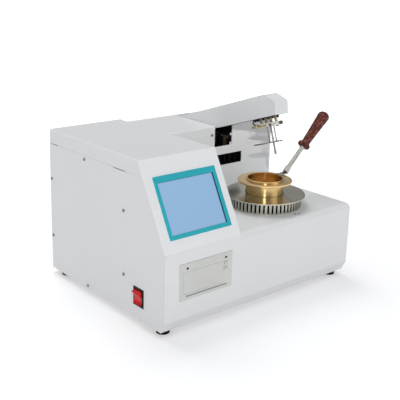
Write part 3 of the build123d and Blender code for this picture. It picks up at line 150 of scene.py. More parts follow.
class Material(Shading):
    """A procedural material: a Principled shader and the nodes that feed it."""

    def __init__(self, name, color, roughness, metallic=0.0, coat=0.0, coat_rough=0.1, gloss=0.5):
        self.mat = bpy.data.materials.new(name)
        self.mat.use_nodes = True
        self.mat.diffuse_color = color
        super().__init__(self.mat.node_tree)
        self.shader = self.tree.nodes["Principled BSDF"]
        self.color = color
        self.height = None
        self.set("Base Color", color)
        self.set("Metallic", metallic)
        self.set("Roughness", roughness)
        self.set("Coat Weight", coat)
        self.set("Coat Roughness", coat_rough)
        self.set("Specular IOR Level", gloss)

    def set(self, name, value):
        self.feed(value, self.shader.inputs[name])

    def place(self):
        """The point shaded, in the object's own space."""
        return self.node("TexCoord").outputs["Object"]

    def noise(self, scale, detail=2.0, vector=None, rough=0.5):
        made = self.node("TexNoise", Scale=scale, Detail=detail, Roughness=rough)
        self.feed(vector or self.place(), made.inputs["Vector"])
        return made.outputs["Fac"]

    def tint(self, fac, share):
        """Varies the base colour by a share either way, following fac."""
        dark, light = scaled(self.color, 1 - share), scaled(self.color, 1 + share)
        tone = self.ramp(fac, (0.3, dark), (0.7, light))
        self.set("Base Color", tone)
        return tone

    def roughen(self, fac, low, high):
        self.set("Roughness", self.span(fac, low, high))

    def bump(self, fac, depth, strength=1.0):
        """Adds relief of a depth in metres."""
        made = self.node("Bump", Strength=strength, Distance=depth, Height=fac)
        self.set("Normal", made.outputs["Normal"])


# ---------------------------------------------------------------- kinds of material


def grained(name, color, roughness, blotch, relief, sheen=None, **shader):
    """A material with blotches of tone, a fine relief and perhaps patches of sheen.

    blotch is (scale, detail, share of tone), relief is (scale, detail, depth, strength) and
    sheen is (scale, detail, how much smoother, how much rougher).
    """
    m = Material(name, color, roughness, **shader)
    m.tint(m.noise(*blotch[:2]), blotch[2])
    if sheen:
        m.roughen(m.noise(*sheen[:2]), roughness - sheen[2], roughness + sheen[3])
    m.bump(m.noise(*relief[:2]), *relief[2:])
    return m.mat


def powder_coat(name, color, roughness=0.62, coat=0.3):
    """Sprayed and baked paint: a fine orange-peel skin and a faint unevenness of tone."""
    return grained(
        name, color, roughness, (7.0, 3.0, 0.012), (900.0, 2.0, 0.00006, 0.5),
        (260.0, 2.0, 0.05, 0.05), coat=coat, coat_rough=0.13, gloss=0.2,
    )


def moulded_plastic(name, color, roughness=0.4, coat=0.0, gloss=0.5):
    """Injection-moulded plastic: spark-eroded grain."""
    return grained(
        name, color, roughness, (30.0, 3.0, 0.03), (2200.0, 2.0, 0.00003, 0.5),
        (500.0, 2.0, 0.06, 0.06), coat=coat, coat_rough=0.08, gloss=gloss,
    )


def plain_metal(name, color, roughness=0.3):
    """Drawn or plated metal with a fine grain."""
    return grained(
        name, color, roughness, (60.0, 4.0, 0.05), (1800.0, 2.0, 0.00001, 0.4),
        (900.0, 3.0, 0.08, 0.1), metallic=1.0,
    )


def rubber(name, color):
    """Dull moulded rubber."""
    return grained(name, color, 0.8, (120.0, 3.0, 0.12), (1500.0, 2.0, 0.00004, 0.6), gloss=0.15)


def paper(name, color):
    """Thermal paper, faintly fibrous."""
    return grained(name, color, 0.85, (600.0, 4.0, 0.03), (2500.0, 2.0, 0.00003, 0.5))


def turned_metal(name, color, roughness, line_scale):
    """Metal turned on the cup's axis: fine rings that stretch the highlights across them."""
    m = Material(name, color, roughness, metallic=1.0)
    centred = m.math("SUBTRACT", m.place(), cup_axis, kind="VectorMath")
    x, y, z = m.parts(centred)
    rings = m.noise(line_scale, 3.0, m.node("CombineXYZ", X=m.reach(x, y), Y=z).outputs[0], 0.7)
    tone = m.tint(rings, 0.05)
    m.roughen(rings, roughness - 0.06, roughness + 0.09)
    m.bump(rings, 0.00002, 0.35)
    m.set("Tangent", m.math("CROSS_PRODUCT", centred, UP, kind="VectorMath"))
    m.set("Anisotropic", 0.7)
    m.set("Anisotropic Rotation", 0.25)
    stain = m.ramp(m.noise(45.0, 4.0), (0.35, grey(0.9)), (0.65, grey(1.0)))
    m.set("Base Color", m.mix(1.0, tone, stain, "MULTIPLY"))
    return m.mat


def lit_screen(name, color, strength):
    """A switched-on display behind clear film, a little brighter towards its upper left."""
    m = Material(name, srgb(70, 90, 110), 0.16, coat=0.5, coat_rough=0.05)
    x, y, z = m.parts(m.place())
    low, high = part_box("touch_screen")
    across = m.span(x, 0.0, 1.0, low.x, high.x)
    up = m.span(z, 0.0, 1.0, low.z, high.z)
    corner = m.math("ADD", m.math("MULTIPLY", up, 0.55), m.math("MULTIPLY", across, -0.3))
    m.set("Emission Color", m.ramp(corner, (0.0, scaled(color, 0.97)), (1.0, scaled(color, 1.05))))
    m.set("Emission Strength", strength)
    rows = m.node("TexWave", Scale=1200.0, Vector=m.place())
    rows.bands_direction = "Z"
    m.roughen(rows.outputs["Fac"], 0.14, 0.19)
    return m.mat


def marbled(name, dark, mid, light):
    """Pressed phenolic with a mottled, woven-looking figure."""
    m = Material(name, mid, 0.45, gloss=0.25)
    patch = m.noise(230.0, 5.0, rough=0.7)
    m.set("Base Color", m.ramp(patch, (0.34, dark), (0.52, mid), (0.68, light)))
    m.roughen(patch, 0.36, 0.55)
    m.bump(patch, 0.0002, 0.6)
    return m.mat


# ---------------------------------------------------------------- finishes

PAINT = powder_coat("cabinet_paint", srgb(219, 220, 221))
CONSOLE = powder_coat("console_film", srgb(228, 229, 231), 0.34, 0.3)
TEAL = moulded_plastic("teal_film", srgb(10, 164, 178), 0.32, 0.3)
SCREEN = lit_screen("lit_screen", srgb(141, 178, 216), 0.8)
BLACK = moulded_plastic("black_plastic", srgb(17, 17, 18), 0.42, 0.0, 0.22)
# painted shade: the air duct is made near-black so that the cabinet's inside looks dark
INSIDE_SHADE = moulded_plastic("painted_inside_shade", srgb(12, 14, 17), 0.6, 0.0, 0.15)
PLATE = moulded_plastic("printer_plastic", srgb(199, 200, 197), 0.45)
KEY = moulded_plastic("key_plastic", srgb(186, 187, 184), 0.4)
CERAMIC = moulded_plastic("head_insulator", srgb(222, 219, 208), 0.5)
RED = moulded_plastic("rocker_red", srgb(196, 12, 18), 0.3, 0.15, 0.3)
RUBBER = rubber("foot_rubber", srgb(14, 14, 15))
SCREW = plain_metal("screw_steel", srgb(128, 128, 130), 0.34)
STEEL = plain_metal("wire_steel", srgb(126, 126, 122), 0.28)
ROD = plain_metal("rod_steel", srgb(164, 164, 159), 0.26)
# near-black steel for the lift's rod and roller: painted shade, so that they sit dark in the arm's
# slot
SLOT_SHADE_STEEL = plain_metal("steel_painted_shade", srgb(30, 30, 31), 0.4)
BRASS = turned_metal("turned_brass", srgb(230, 196, 137), 0.2, 2600.0)
BRASS_PART = plain_metal("machined_brass", srgb(206, 186, 136), 0.32)
DISC = turned_metal("spun_steel", srgb(190, 187, 174), 0.22, 1500.0)
CLIP = plain_metal("clip_steel", srgb(172, 171, 166), 0.24)
TEE = plain_metal("tee_brass", srgb(214, 194, 146), 0.45)
SKIRT = plain_metal("skirt_steel", srgb(184, 182, 170), 0.34)
# near-black heater tray, core and block: painted shade for the dark gap round the cup's foot
UNDER_PLATE_SHADE = moulded_plastic("painted_shade_under_plate", srgb(20, 18, 17), 0.8, 0.0, 0.1)
GRIP = marbled("grip_phenolic", srgb(26, 9, 8), srgb(88, 38, 30), srgb(158, 104, 88))
# near-black: the channel behind the arm's slot and the plate under the arm are painted shade for
# the dark in the slot and under the arm's cover; the wire tips are black
SHADE_BLACK = powder_coat("black_bracket", srgb(20, 21, 22), 0.5)
PAPER = paper("printer_paper", srgb(238, 238, 233))
BOARD = moulded_plastic("circuit_board", srgb(24, 92, 52), 0.45)
CASE_METAL = plain_metal("plain_case", srgb(170, 172, 174), 0.4)

FINISH = {
    PAINT: "base_pan front_deck rear_housing tower_cover left_side right_side rear_panel arm_cover",
    CONSOLE: "console_panel",
    TEAL: "screen_bezel",
    SCREEN: "touch_screen",
    BLACK: "display_module switch_frame printer_lamps platen_roller roll_spindle "
           "fan_frame fan_rotor power_inlet lift_motor",
    INSIDE_SHADE: "air_duct",
    PLATE: "printer_case printer_door",
    KEY: "feed_key select_key",
    CERAMIC: "head_block",
    RED: "power_rocker",
    RUBBER: "feet",
    SCREW: "case_screws foot_screws head_studs valve_knob thumb_screw",
    STEEL: "detector_wire temperature_probe pivot_shaft arm_hub",
    CLIP: "handle_clip clip_rivets",
    TEE: "arm_sensor",
    SLOT_SHADE_STEEL: "lift_roller lift_rod",
    UNDER_PLATE_SHADE: "heater_tray heater_core heater_block",
    ROD: "handle_rod",
    BRASS: "cup",
    BRASS_PART: "lift_bush igniter_jet head_springs gas_nozzle",
    DISC: "heater_plate",
    SKIRT: "heater_skirt",
    GRIP: "handle_grip",
    SHADE_BLACK: "mech_channel arm_plate wire_tips",
    PAPER: "paper_roll",
    BOARD: "control_board",
    CASE_METAL: "power_supply",
}


def finish_nodes():
    """Gives every CAD node its material."""
    for mat, names in FINISH.items():
        for name in names.split():
            slots = nodes[name].data.materials
            slots.clear()
            slots.append(mat)


finish_nodes()

# ---------------------------------------------------------------- mesh helpers


def around(sides):
    """The cosine and sine of each step round a circle."""
    angles = [math.tau * i / sides for i in range(sides)]
    return [(math.cos(a), math.sin(a)) for a in angles]


def turned_rings(outline, sides, unit=MM):
    """Rings about Z through an outline of (radius, height) points."""
    return [[Vector((r * c, r * s, h)) * unit for c, s in around(sides)] for r, h in outline]


def skin_rings(bm, rings, closed=False, cap_high=True):
    """Quads between rings of equally many points. An open row of rings is capped."""
    loops = [[bm.verts.new(point) for point in ring] for ring in rings]
    pairs = list(zip(loops, loops[1:]))
    if closed:
        pairs.append((loops[-1], loops[0]))
    for low, high in pairs:
        for i in range(len(low)):
            j = (i + 1) % len(low)
            bm.faces.new((low[i], low[j], high[j], high[i]))
    if not closed:
        bm.faces.new(loops[0][::-1])
        if cap_high:
            bm.faces.new(loops[-1])
    return loops


def tube(bm, points, radius, sides=8):
    """A round tube through points, its cross-section carried along without twist."""
    rings = []
    side = None
    for i, point in enumerate(points):
        before = points[max(i - 1, 0)]
        after = points[min(i + 1, len(points) - 1)]
        way = (after - before).normalized()
        if side is None:
            side = way.orthogonal().normalized()
        side = (side - way * side.dot(way)).normalized()
        up = way.cross(side)
        rings.append([point + (side * c + up * s) * radius for c, s in around(sides)])
    skin_rings(bm, rings)


def slab(bm, low, high, edge):
    """A box between two corners with its edges eased."""
    made = bmesh.ops.create_cube(bm, size=1.0)["verts"]
    low, high = Vector(low), Vector(high)
    for vert in made:
        vert.co = vert.co * (high - low) + (low + high) / 2
    edges = list(dict.fromkeys(e for v in made for e in v.link_edges))
    bmesh.ops.bevel(
        bm, geom=edges, offset=edge, segments=2, profile=0.5, affect="EDGES", clamp_overlap=True,
    )


def smooth_path(points, steps):
    """A Catmull-Rom curve through points."""
    curve = []
    for i in range(len(points) - 1):
        a, b = points[max(i - 1, 0)], points[i]
        c, d = points[i + 1], points[min(i + 2, len(points) - 1)]
        for k in range(steps):
            t = k / steps
            square = (2 * a - 5 * b + 4 * c - d) * t * t
            cube = (3 * b - a - 3 * c + d) * t * t * t
            curve.append(0.5 * (2 * b + (c - a) * t + square + cube))
    return curve + [points[-1]]


def add_part(bm, part, place):
    """Moves a mesh by a matrix and adds it to another."""
    part.transform(place)
    mesh = bpy.data.meshes.new("part")
    part.to_mesh(mesh)
    part.free()
    bm.from_mesh(mesh)
    bpy.data.meshes.remove(mesh)


def piece(name, bm, body, mat, smooth=30.0):
    """Makes a mesh object from bm, smooth up to an angle in degrees, riding on a body."""
    bmesh.ops.recalc_face_normals(bm, faces=bm.faces)
    mesh = bpy.data.meshes.new(name)
    bm.to_mesh(mesh)
    bm.free()
    mesh.materials.append(mat)
    mesh.shade_smooth()
    mesh.set_sharp_from_angle(angle=math.radians(smooth))
    made = bpy.data.objects.new(name, mesh)
    bpy.context.scene.collection.objects.link(made)
    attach(made, body)
    return made


# ---------------------------------------------------------------- reading the CAD nodes


def islands(name):
    """The separate solids of a node, each as its points, in the order of the node's mesh."""
    bm = bmesh.new()
    bm.from_mesh(nodes[name].data)
    bmesh.ops.remove_doubles(bm, verts=bm.verts, dist=1e-6)
    met = set()
    found = []
    for first in bm.verts:
        if first in met:
            continue
        met.add(first)
        edge = [first]
        group = []
        while edge:
            vert = edge.pop()
            group.append(vert.co.copy())
            others = [e.other_vert(vert) for e in vert.link_edges]
            fresh = [v for v in others if v not in met]
            met.update(fresh)
            edge += fresh
        found.append(group)
    bm.free()
    return found


def extent(points):
    """The lowest and highest corner round points."""
    return [Vector([pick(p[k] for p in points) for k in range(3)]) for pick in (min, max)]


def flat_face(name, way):
    """A node's largest flat face that looks a way: its middle, its normal and the points on it."""
    mesh = nodes[name].data
    best = max((p for p in mesh.polygons if p.normal.dot(way) > 0.5), key=lambda p: p.area)
    normal = best.normal.copy()
    level = mesh.vertices[best.vertices[0]].co.dot(normal)
    points = [v.co.copy() for v in mesh.vertices if abs(v.co.dot(normal) - level) < 1e-5]
    return best.center.copy(), normal, points


def frame_at(origin, normal, up=UP):
    """A matrix from local X right, Y up, Z out of the surface."""
    z = normal.normalized()
    x = up.cross(z).normalized()
    y = z.cross(x)
    turn = Matrix((x, y, z)).transposed().to_4x4()
    return Matrix.Translation(origin) @ turn


# ---------------------------------------------------------------- cabinet

HEAD_DEPTH = 1.3 * MM
SHANK_R = 1.5 * MM


def screw_head(radius, shank):
    """A pan-head screw with its seat on Z = 0: the shank below and a cross recess in the crown."""
    made = bmesh.new()
    crown = HEAD_DEPTH * 1.25
    outline = [
        (SHANK_R, -shank), (SHANK_R, 0.0), (radius, 0.0), (radius, HEAD_DEPTH * 0.45),
        (radius * 0.93, HEAD_DEPTH * 0.8), (radius * 0.78, HEAD_DEPTH * 1.08),
        (radius * 0.6, crown),
    ]
    rim = skin_rings(made, turned_rings(outline, 24, 1.0), cap_high=False)[-1]
    arm, half = radius * 0.42, radius * 0.12
    cross = [
        (arm, -half), (arm, half), (half, half), (half, arm), (-half, arm), (-half, half),
        (-arm, half), (-arm, -half), (-half, -half), (-half, -arm), (half, -arm), (half, -half),
    ]
    top = [made.verts.new((x, y, crown)) for x, y in cross]
    floor = [made.verts.new((x * 0.6, y * 0.6, crown - HEAD_DEPTH * 0.7)) for x, y in cross]
    edges = [made.edges.get(pair) for pair in zip(rim, rim[1:] + rim[:1])]
    edges += [made.edges.new(pair) for pair in zip(top, top[1:] + top[:1])]
    bmesh.ops.triangle_fill(made, edges=edges, use_beauty=True)
    for i in range(len(cross)):
        j = (i + 1) % len(cross)
        made.faces.new((top[i], top[j], floor[j], floor[i]))
    made.faces.new(floor)
    return made


def make_screws():
    """A screw with a recess wherever the CAD has a plain one; its head is the wider end."""
    bm = bmesh.new()
    for number, points in enumerate(islands("case_screws")):
        low, high = extent(points)
        middle = (low + high) / 2
        along = max(range(3), key=lambda k: high[k] - low[k])
        way = Vector([1.0 if k == along else 0.0 for k in range(3)])

        def width(end):
            return max((p - middle - way * (p - middle).dot(way)).length
                       for p in points if abs(p[along] - end[along]) < 1e-5)

        end, sign = (low, -1) if width(low) > width(high) else (high, 1)
        seat = middle.copy()
        seat[along] = end[along] - sign * HEAD_DEPTH
        spin = Matrix.Rotation(0.7 + 1.9 * number, 4, "Z")     # no two recesses stand alike
        head = screw_head(width(end), high[along] - low[along] - HEAD_DEPTH)
        add_part(bm, head, frame_at(seat, way * sign) @ spin)
    made = piece("case_screw_heads", bm, "cabinet", SCREW)
    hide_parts("case_screws")


def make_recess_shade():
    """The black lining round the glass, on the walls of the opening: painted shade for the shaded
    walls of the screen's recess.
    """
    middle, normal, points = flat_face("touch_screen", Vector((0, -0.8, 0.6)))
    place = frame_at(middle, normal)
    low, high = extent([place.inverted() @ p for p in points])
    root, rise, gap, wall = (d * MM for d in (0.05, 2.7, 0.08, 0.14))
    section = [
        (gap, root), (gap, rise), (gap - 0.6 * wall, rise),
        (gap - wall, rise - 0.4 * wall), (gap - wall, root),
    ]
    rings = []
    corners = (
        (low.x, low.y, -1, -1), (high.x, low.y, 1, -1),
        (high.x, high.y, 1, 1), (low.x, high.y, -1, 1),
    )
    for x, y, sx, sy in corners:
        rings.append([place @ Vector((x + sx * out, y + sy * out, h)) for out, h in section])
    bm = bmesh.new()
    skin_rings(bm, rings, closed=True)
    # black on the recess walls: painted shade
    piece("screen_recess_shade", bm, "cabinet", BLACK)


# Black plugs that stand in for the shade inside the deck's two small holes: painted shade.
HOLE_SHADE_AT = cabinet_corner + Vector((305.2, 20.8, 132.0)) * MM
HOLE_SHADE_STEP = Vector((5.2, -3.8, 0.0)) * MM
HOLE_SHADE_OUTLINE = [
    (1.0, -1.6), (1.0, 0.02), (1.7, 0.02), (1.65, 0.35), (1.25, 0.6), (0.7, 0.5), (0.45, -0.4),
]


def make_deck_hole_shade():
    """Black plugs in the deck's two small holes: painted shade for the dark inside the holes."""
    bm = bmesh.new()
    for i in range(2):
        shade_plug = bmesh.new()
        skin_rings(shade_plug, turned_rings(HOLE_SHADE_OUTLINE, 20))
        add_part(bm, shade_plug, Matrix.Translation(HOLE_SHADE_AT + HOLE_SHADE_STEP * i))
    piece("deck_hole_shade", bm, "cabinet", BLACK)


def make_slabs(name, boxes, edge, mat):
    """A piece on the cabinet of slabs, each between two corners in mm."""
    bm = bmesh.new()
    for low, high in boxes:
        slab(bm, Vector(low) * MM, Vector(high) * MM, edge * MM)
    piece(name, bm, "cabinet", mat)


def make_slot_lugs():
    """Folded lugs at the right edge of the arm's slot."""
    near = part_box("arm_cover")[1].x / MM + 1.0
    levels = ((225.5, 231.5), (245.0, 249.5))
    boxes = [((near, 30.9, low), (near + 3.6, 32.4, high)) for low, high in levels]
    make_slabs("slot_lugs", boxes, 0.3, PAINT)


def make_inlet_blades():
    """The three contacts in the mains inlet, the earth a little higher and longer."""
    blades = ((-184.9, 57.4, 156.5), (-177.9, 61.2, 158.0), (-170.9, 57.4, 156.5))
    boxes = [((x - 1.0, 142.9, z - 2.0), (x + 1.0, reach, z + 2.0)) for x, z, reach in blades]
    make_slabs("inlet_blades", boxes, 0.5, CLIP)


TEETH = 57
TEAR_X = (-197.6, -112.2)
TEAR_Y = (-181.55, -180.9)
TEAR_FOOT, TEAR_ROOT, TEAR_TIP = 62.8, 64.0, 64.55


def make_tear_bar():
    """The toothed strip over the printer's slit."""
    start, end = TEAR_X
    pitch = (end - start) / TEETH
    outline = [(start, TEAR_FOOT)]
    for i in range(TEETH):
        outline += [(start + pitch * i, TEAR_ROOT), (start + pitch * (i + 0.5), TEAR_TIP)]
    outline += [(end, TEAR_ROOT), (end, TEAR_FOOT)]
    bm = bmesh.new()
    skin_rings(bm, [[Vector((x, y, z)) * MM for x, z in outline] for y in TEAR_Y])
    piece("tear_bar", bm, "cabinet", CASE_METAL, 20.0)


# ---------------------------------------------------------------- arm

# The arm's own directions: along it towards the head, and square up from it.
tilt = next(j for j in frame["record"]["behaviour"]["joints"] if j["name"] == "arm_tilt")
arm_pivot = Vector(tilt["pos_m"])
ARM_RAISE = math.radians(18.5)
arm_ahead = Vector((0, -math.cos(ARM_RAISE), math.sin(ARM_RAISE)))
arm_up = Vector((0, math.sin(ARM_RAISE), math.cos(ARM_RAISE)))


def arm_at(x, u, v):
    """A point in mm across, along and up from the arm's pivot."""
    return arm_pivot + Vector((x, 0, 0)) * MM + arm_ahead * (u * MM) + arm_up * (v * MM)


def arm_of(point):
    """The reverse of arm_at."""
    away = point - arm_pivot
    return away.x / MM, away.dot(arm_ahead) / MM, away.dot(arm_up) / MM


def arm_rod(bm, start, end, radius, sides=12):
    """A straight rod between two points of the arm, in mm."""
    tube(bm, [arm_at(*start), arm_at(*end)], radius * MM, sides)


COIL_R, COIL_WIRE_R, COIL_TURNS, COIL_STEPS = 3.0, 0.42, 5.0, 120
COIL_CLOSE = 0.045      # how far the pitch closes up at the ends


def make_springs():
    """Round-wire springs between the arm and the head, with closed end turns."""
    bm = bmesh.new()
    for points in islands("head_springs"):
        low, high = extent([arm_of(p) for p in points])
        u = (low.y + high.y) / 2
        start, travel = low.z + COIL_WIRE_R, high.z - low.z - 2 * COIL_WIRE_R
        path = []
        for i in range(COIL_STEPS + 1):
            t = i / COIL_STEPS
            a = math.tau * COIL_TURNS * t
            v = start + travel * (t - COIL_CLOSE * math.sin(math.tau * t))
            path.append(arm_at(COIL_R * math.cos(a), u + COIL_R * math.sin(a), v))
        tube(bm, path, COIL_WIRE_R * MM)
    made = piece("spring_coils", bm, "arm", BRASS_PART, 60.0)
    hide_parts("head_springs")


RING_AT, RING_R, RING_LEVEL, RING_WIRE_R = 213.0, 25.2, -64.0, 1.15
RING_ROD_R, FERRULE_R, RING_BAR_R = 1.05, 1.7, 0.9


def make_detector():
    """The flash detector: a ring with a bar across it, on two rods from the head."""
    local = [arm_of(v.co) for v in nodes["detector_wire"].data.vertices]
    top = max(v for x, u, v in local)
    ends = [u for x, u, v in local if v > top - 0.1]
    middle = (min(ends) + max(ends)) / 2
    bm = bmesh.new()
    for group in ([u for u in ends if u < middle], [u for u in ends if u > middle]):
        u = (min(group) + max(group)) / 2
        arm_rod(bm, (0, u, top), (0, u, RING_LEVEL), RING_ROD_R)
        arm_rod(bm, (0, u, RING_LEVEL + 2.6), (0, u, RING_LEVEL - 1.3), FERRULE_R)
    arm_rod(bm, (0, RING_AT - RING_R, RING_LEVEL), (0, RING_AT + RING_R, RING_LEVEL), RING_BAR_R)
    rings = []
    for c, s in around(64):
        wire = [(RING_R + RING_WIRE_R * out, RING_WIRE_R * up) for out, up in around(10)]
        rings.append([arm_at(r * s, RING_AT + r * c, RING_LEVEL + up) for r, up in wire])
    skin_rings(bm, rings, closed=True)
    made = piece("detector_ring", bm, "arm", STEEL, 60.0)
    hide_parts("detector_wire", "wire_tips")


# The strip under the arm, the blocks on it and the two leads that hang from it to the head.
STRIP = ((3.7, 180.0, -21.6), (6.6, 244.0, -18.7))
BLOCK_COUNT, BLOCK_PITCH = 9, 7.2
BLOCK = ((3.4, 183.0, -23.0), (6.9, 186.4, -19.2))
LEADS = ((4.2, 27.0), (5.9, 25.5))      # across, and how low it hangs
LEAD_R = 0.65


def make_head_terminals():
    """The terminal strip and its leads."""
    bm = bmesh.new()
    slab(bm, *STRIP, 0.3)
    for i in range(BLOCK_COUNT):
        step = Vector((0, BLOCK_PITCH * i, 0))
        slab(bm, *(Vector(end) + step for end in BLOCK), 0.4)
    for vert in bm.verts:
        vert.co = arm_at(*vert.co)
    for x, drop in LEADS:
        path = [
            (x, 181.0, -20.4), (x - 0.6, 178.6, -22.4), (x - 1.6, 181.0, -drop),
            (x - 2.8, 188.0, -drop - 4.6), (x - 3.4, 195.6, -32.2),
        ]
        tube(bm, [arm_at(*q) for q in smooth_path([Vector(p) for p in path], 5)], LEAD_R * MM)
    piece("head_terminals", bm, "arm", BLACK, 40.0)


GAS_X = -7.75
GAS_NUTS = ((208.0, 211.2, 1.25), (211.9, 213.2, 1.2), (219.6, 223.6, 1.25))    # from, to, radius


def make_gas_tube():
    """The thin tube that feeds the test flame, with its hexagon nuts."""
    bm = bmesh.new()
    arm_rod(bm, (GAS_X, 206.5, -33.2), (GAS_X, 224.5, -32.6), 0.95)
    for start, end, radius in GAS_NUTS:
        arm_rod(bm, (GAS_X, start, -33.1), (GAS_X, end, -33.0), radius, 6)
    piece("gas_tube", bm, "arm", BRASS_PART)


def make_clamp_nut():
    """The round nut on the head's left face, with the stud's end standing out of it."""
    outline = [(2.6, 0.0), (2.75, 0.3), (2.75, 1.5), (2.5, 1.9), (1.5, 2.1), (1.4, 2.9), (1.2, 3.1)]
    bm = bmesh.new()
    skin_rings(bm, turned_rings(outline, 24))
    bm.transform(frame_at(arm_at(-6.5, 232.6, -33.4), Vector((-1, 0, 0))))
    piece("head_clamp_nut", bm, "arm", SCREW)


# ---------------------------------------------------------------- cup handle

# Distances along the rod from its lower end, and radii, in mm.
ROD_OUTLINE = [
    (0.5, 3.3), (1.0, 3.7), (7.0, 3.7), (7.6, 4.1), (40.0, 4.1), (40.6, 3.95), (41.4, 3.95),
    (42.0, 4.1), (66.0, 4.1),
]
# The collar adds how deep its four hollows are.
COLLAR = [
    (63.2, 4.3, 0.0), (63.0, 5.2, 0.0), (63.0, 9.9, 1.8), (63.5, 11.0, 2.4), (64.6, 11.8, 2.9),
    (66.2, 12.1, 3.0), (67.8, 11.9, 2.9), (69.2, 11.1, 2.4), (70.6, 9.8, 1.2), (72.2, 8.6, 0.4),
    (74.6, 7.9, 0.0),
]
GRIP_STEPS, DOME_STEPS = 24, 8
GRIP_END, GRIP_END_R = 139.6, 11.7
DOME_SHARE = 0.86       # of a full half ball
FLUTE_DEPTH = 0.55


def handle_axis():
    """The rod's lower end and the way it points."""
    guess = sum(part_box("handle_grip"), Vector()) - sum(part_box("handle_clip"), Vector())
    guess.normalize()
    points = [v.co for v in nodes["handle_rod"].data.vertices]
    low = min(p.dot(guess) for p in points)
    high = max(p.dot(guess) for p in points)
    mean = []
    for near in (low, high):
        kept = [p for p in points if abs(p.dot(guess) - near) < (high - low) / 3]
        kept = sorted({tuple(round(c, 6) for c in p) for p in kept})
        mean.append(sum((Vector(c) for c in kept), Vector()) / len(kept))
    return mean[0], (mean[1] - mean[0]).normalized()


def make_handle():
    """The rod and the grip, turned about the rod's own axis."""
    start, way = handle_axis()
    side = way.cross(Vector((0, 1, 0))).normalized()
    other = way.cross(side)

    def ring(along, radius, hollow=0.0, flute=0.0, sides=48):
        points = []
        for i, (c, s) in enumerate(around(sides)):
            a = math.tau * i / sides
            r = radius - hollow * max(0.0, math.cos(4 * a)) ** 1.5
            r -= flute * (0.5 + 0.5 * math.cos(8 * a)) ** 3
            points.append(start + way * (along * MM) + (side * c + other * s) * (r * MM))
        return points

    bm = bmesh.new()
    skin_rings(bm, [ring(along, radius, sides=24) for along, radius in ROD_OUTLINE])
    made = piece("handle_rod_turned", bm, "cup", ROD)
    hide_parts("handle_rod")

    rings = [ring(*step) for step in COLLAR]
    neck, neck_r = COLLAR[-1][:2]
    for i in range(1, GRIP_STEPS + 1):
        t = i / GRIP_STEPS
        along = neck + (GRIP_END - neck) * t
        radius = neck_r + (GRIP_END_R - neck_r) * t
        flute = FLUTE_DEPTH * min(1.0, 4 * t, 6 * (1 - t))      # fades in and out
        rings.append(ring(along, radius, flute=flute))
    for i in range(1, DOME_STEPS + 1):
        a = math.pi / 2 * i / (DOME_STEPS + 1)
        along = GRIP_END + GRIP_END_R * DOME_SHARE * math.sin(a)
        rings.append(ring(along, GRIP_END_R * math.cos(a)))
    bm = bmesh.new()
    skin_rings(bm, rings)
    made = piece("handle_grip_moulded", bm, "cup", GRIP, 50.0)
    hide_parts("handle_grip")


make_screws()
make_recess_shade()
make_springs()
make_detector()
make_head_terminals()
make_gas_tube()
make_clamp_nut()
make_handle()
make_deck_hole_shade()
make_slot_lugs()
make_tear_bar()
make_inlet_blades()

# ---------------------------------------------------------------- studio

# The camera, fitted to the photograph; its place is measured from the cabinet's corner.
CAMERA_AT = cabinet_corner + Vector((-659.52, -839.84, 562.33)) * MM
CAMERA_YAW = 0.683
CAMERA_PITCH = 0.272
CAMERA_ROLL = 0.018
FOCAL_PX = 763.43
CENTRE_PX = (179.35, 171.11)
IMAGE_PX = 400


def make_camera():
    """The camera at the photograph's viewing angle."""
    data = bpy.data.cameras.new("camera")
    camera = bpy.data.objects.new("camera", data)
    bpy.context.scene.collection.objects.link(camera)
    sy, cy = math.sin(CAMERA_YAW), math.cos(CAMERA_YAW)
    sp, cp = math.sin(CAMERA_PITCH), math.cos(CAMERA_PITCH)
    ahead = Vector((sy * cp, cy * cp, -sp))
    right = Vector((cy, -sy, 0))
    up = right.cross(ahead)
    c, s = math.cos(CAMERA_ROLL), math.sin(CAMERA_ROLL)
    right, up = c * right + s * up, c * up - s * right
    turn = Matrix((right, up, -ahead)).transposed().to_4x4()
    camera.matrix_world = Matrix.Translation(CAMERA_AT) @ turn
    data.sensor_width = 36.0
    data.lens = data.sensor_width * FOCAL_PX / IMAGE_PX
    data.shift_x = (IMAGE_PX / 2 - CENTRE_PX[0]) / IMAGE_PX
    data.shift_y = (CENTRE_PX[1] - IMAGE_PX / 2) / IMAGE_PX
    data.clip_end = 100.0
    bpy.context.scene.camera = camera


LIGHTS_AIM = Vector((0.0, 0.0, 0.18))


def area_light(name, azimuth, elevation, distance, size, power, diffuse=True, glossy=True):
    """A panel that looks at the tester. Azimuth 0 is at -Y, and grows towards -X."""
    data = bpy.data.lights.new(name, "AREA")
    data.shape = "RECTANGLE"
    data.size, data.size_y = size
    data.energy = power
    light = bpy.data.objects.new(name, data)
    bpy.context.scene.collection.objects.link(light)
    a, e = math.radians(azimuth), math.radians(elevation)
    away = Vector((-math.sin(a) * math.cos(e), -math.cos(a) * math.cos(e), math.sin(e)))
    light.location = LIGHTS_AIM + away * distance
    light.rotation_euler = (-away).to_track_quat("-Z", "Y").to_euler()
    light.visible_camera = False
    light.visible_diffuse = diffuse
    light.visible_glossy = glossy


def make_lights():
    """A small distant key, whose glints are kept weaker than its light, and two soft panels."""
    key_place = (41, 22, 7.0, (0.16, 0.16))
    area_light("key", *key_place, 215, glossy=False)
    area_light("top", 185, 62, 3.0, (1.8, 1.8), 44, glossy=False)
    area_light("glint", *key_place, 130, diffuse=False)
    area_light("right", -25, 12, 4.0, (2.0, 1.4), 12)


# The room that shows in reflections, all the way round from -X by way of -Y: the turn as a
# share of the circle, and how bright. The high ones are soft boxes.
ROOM = [
    (0.0, 0.45), (0.05, 0.35), (0.095, 0.4), (0.11, 1.5), (0.135, 1.5), (0.15, 0.4),
    (0.22, 0.35), (0.245, 1.1), (0.275, 1.1), (0.3, 0.35), (0.4, 0.6), (0.5, 0.35),
    (0.62, 0.5), (0.75, 0.3), (0.85, 0.5), (0.95, 0.4), (0.965, 1.2), (0.99, 1.2), (1.0, 0.45),
]
CEILING = 1.9
AMBIENT = 0.35
MIRRORED = 0.7


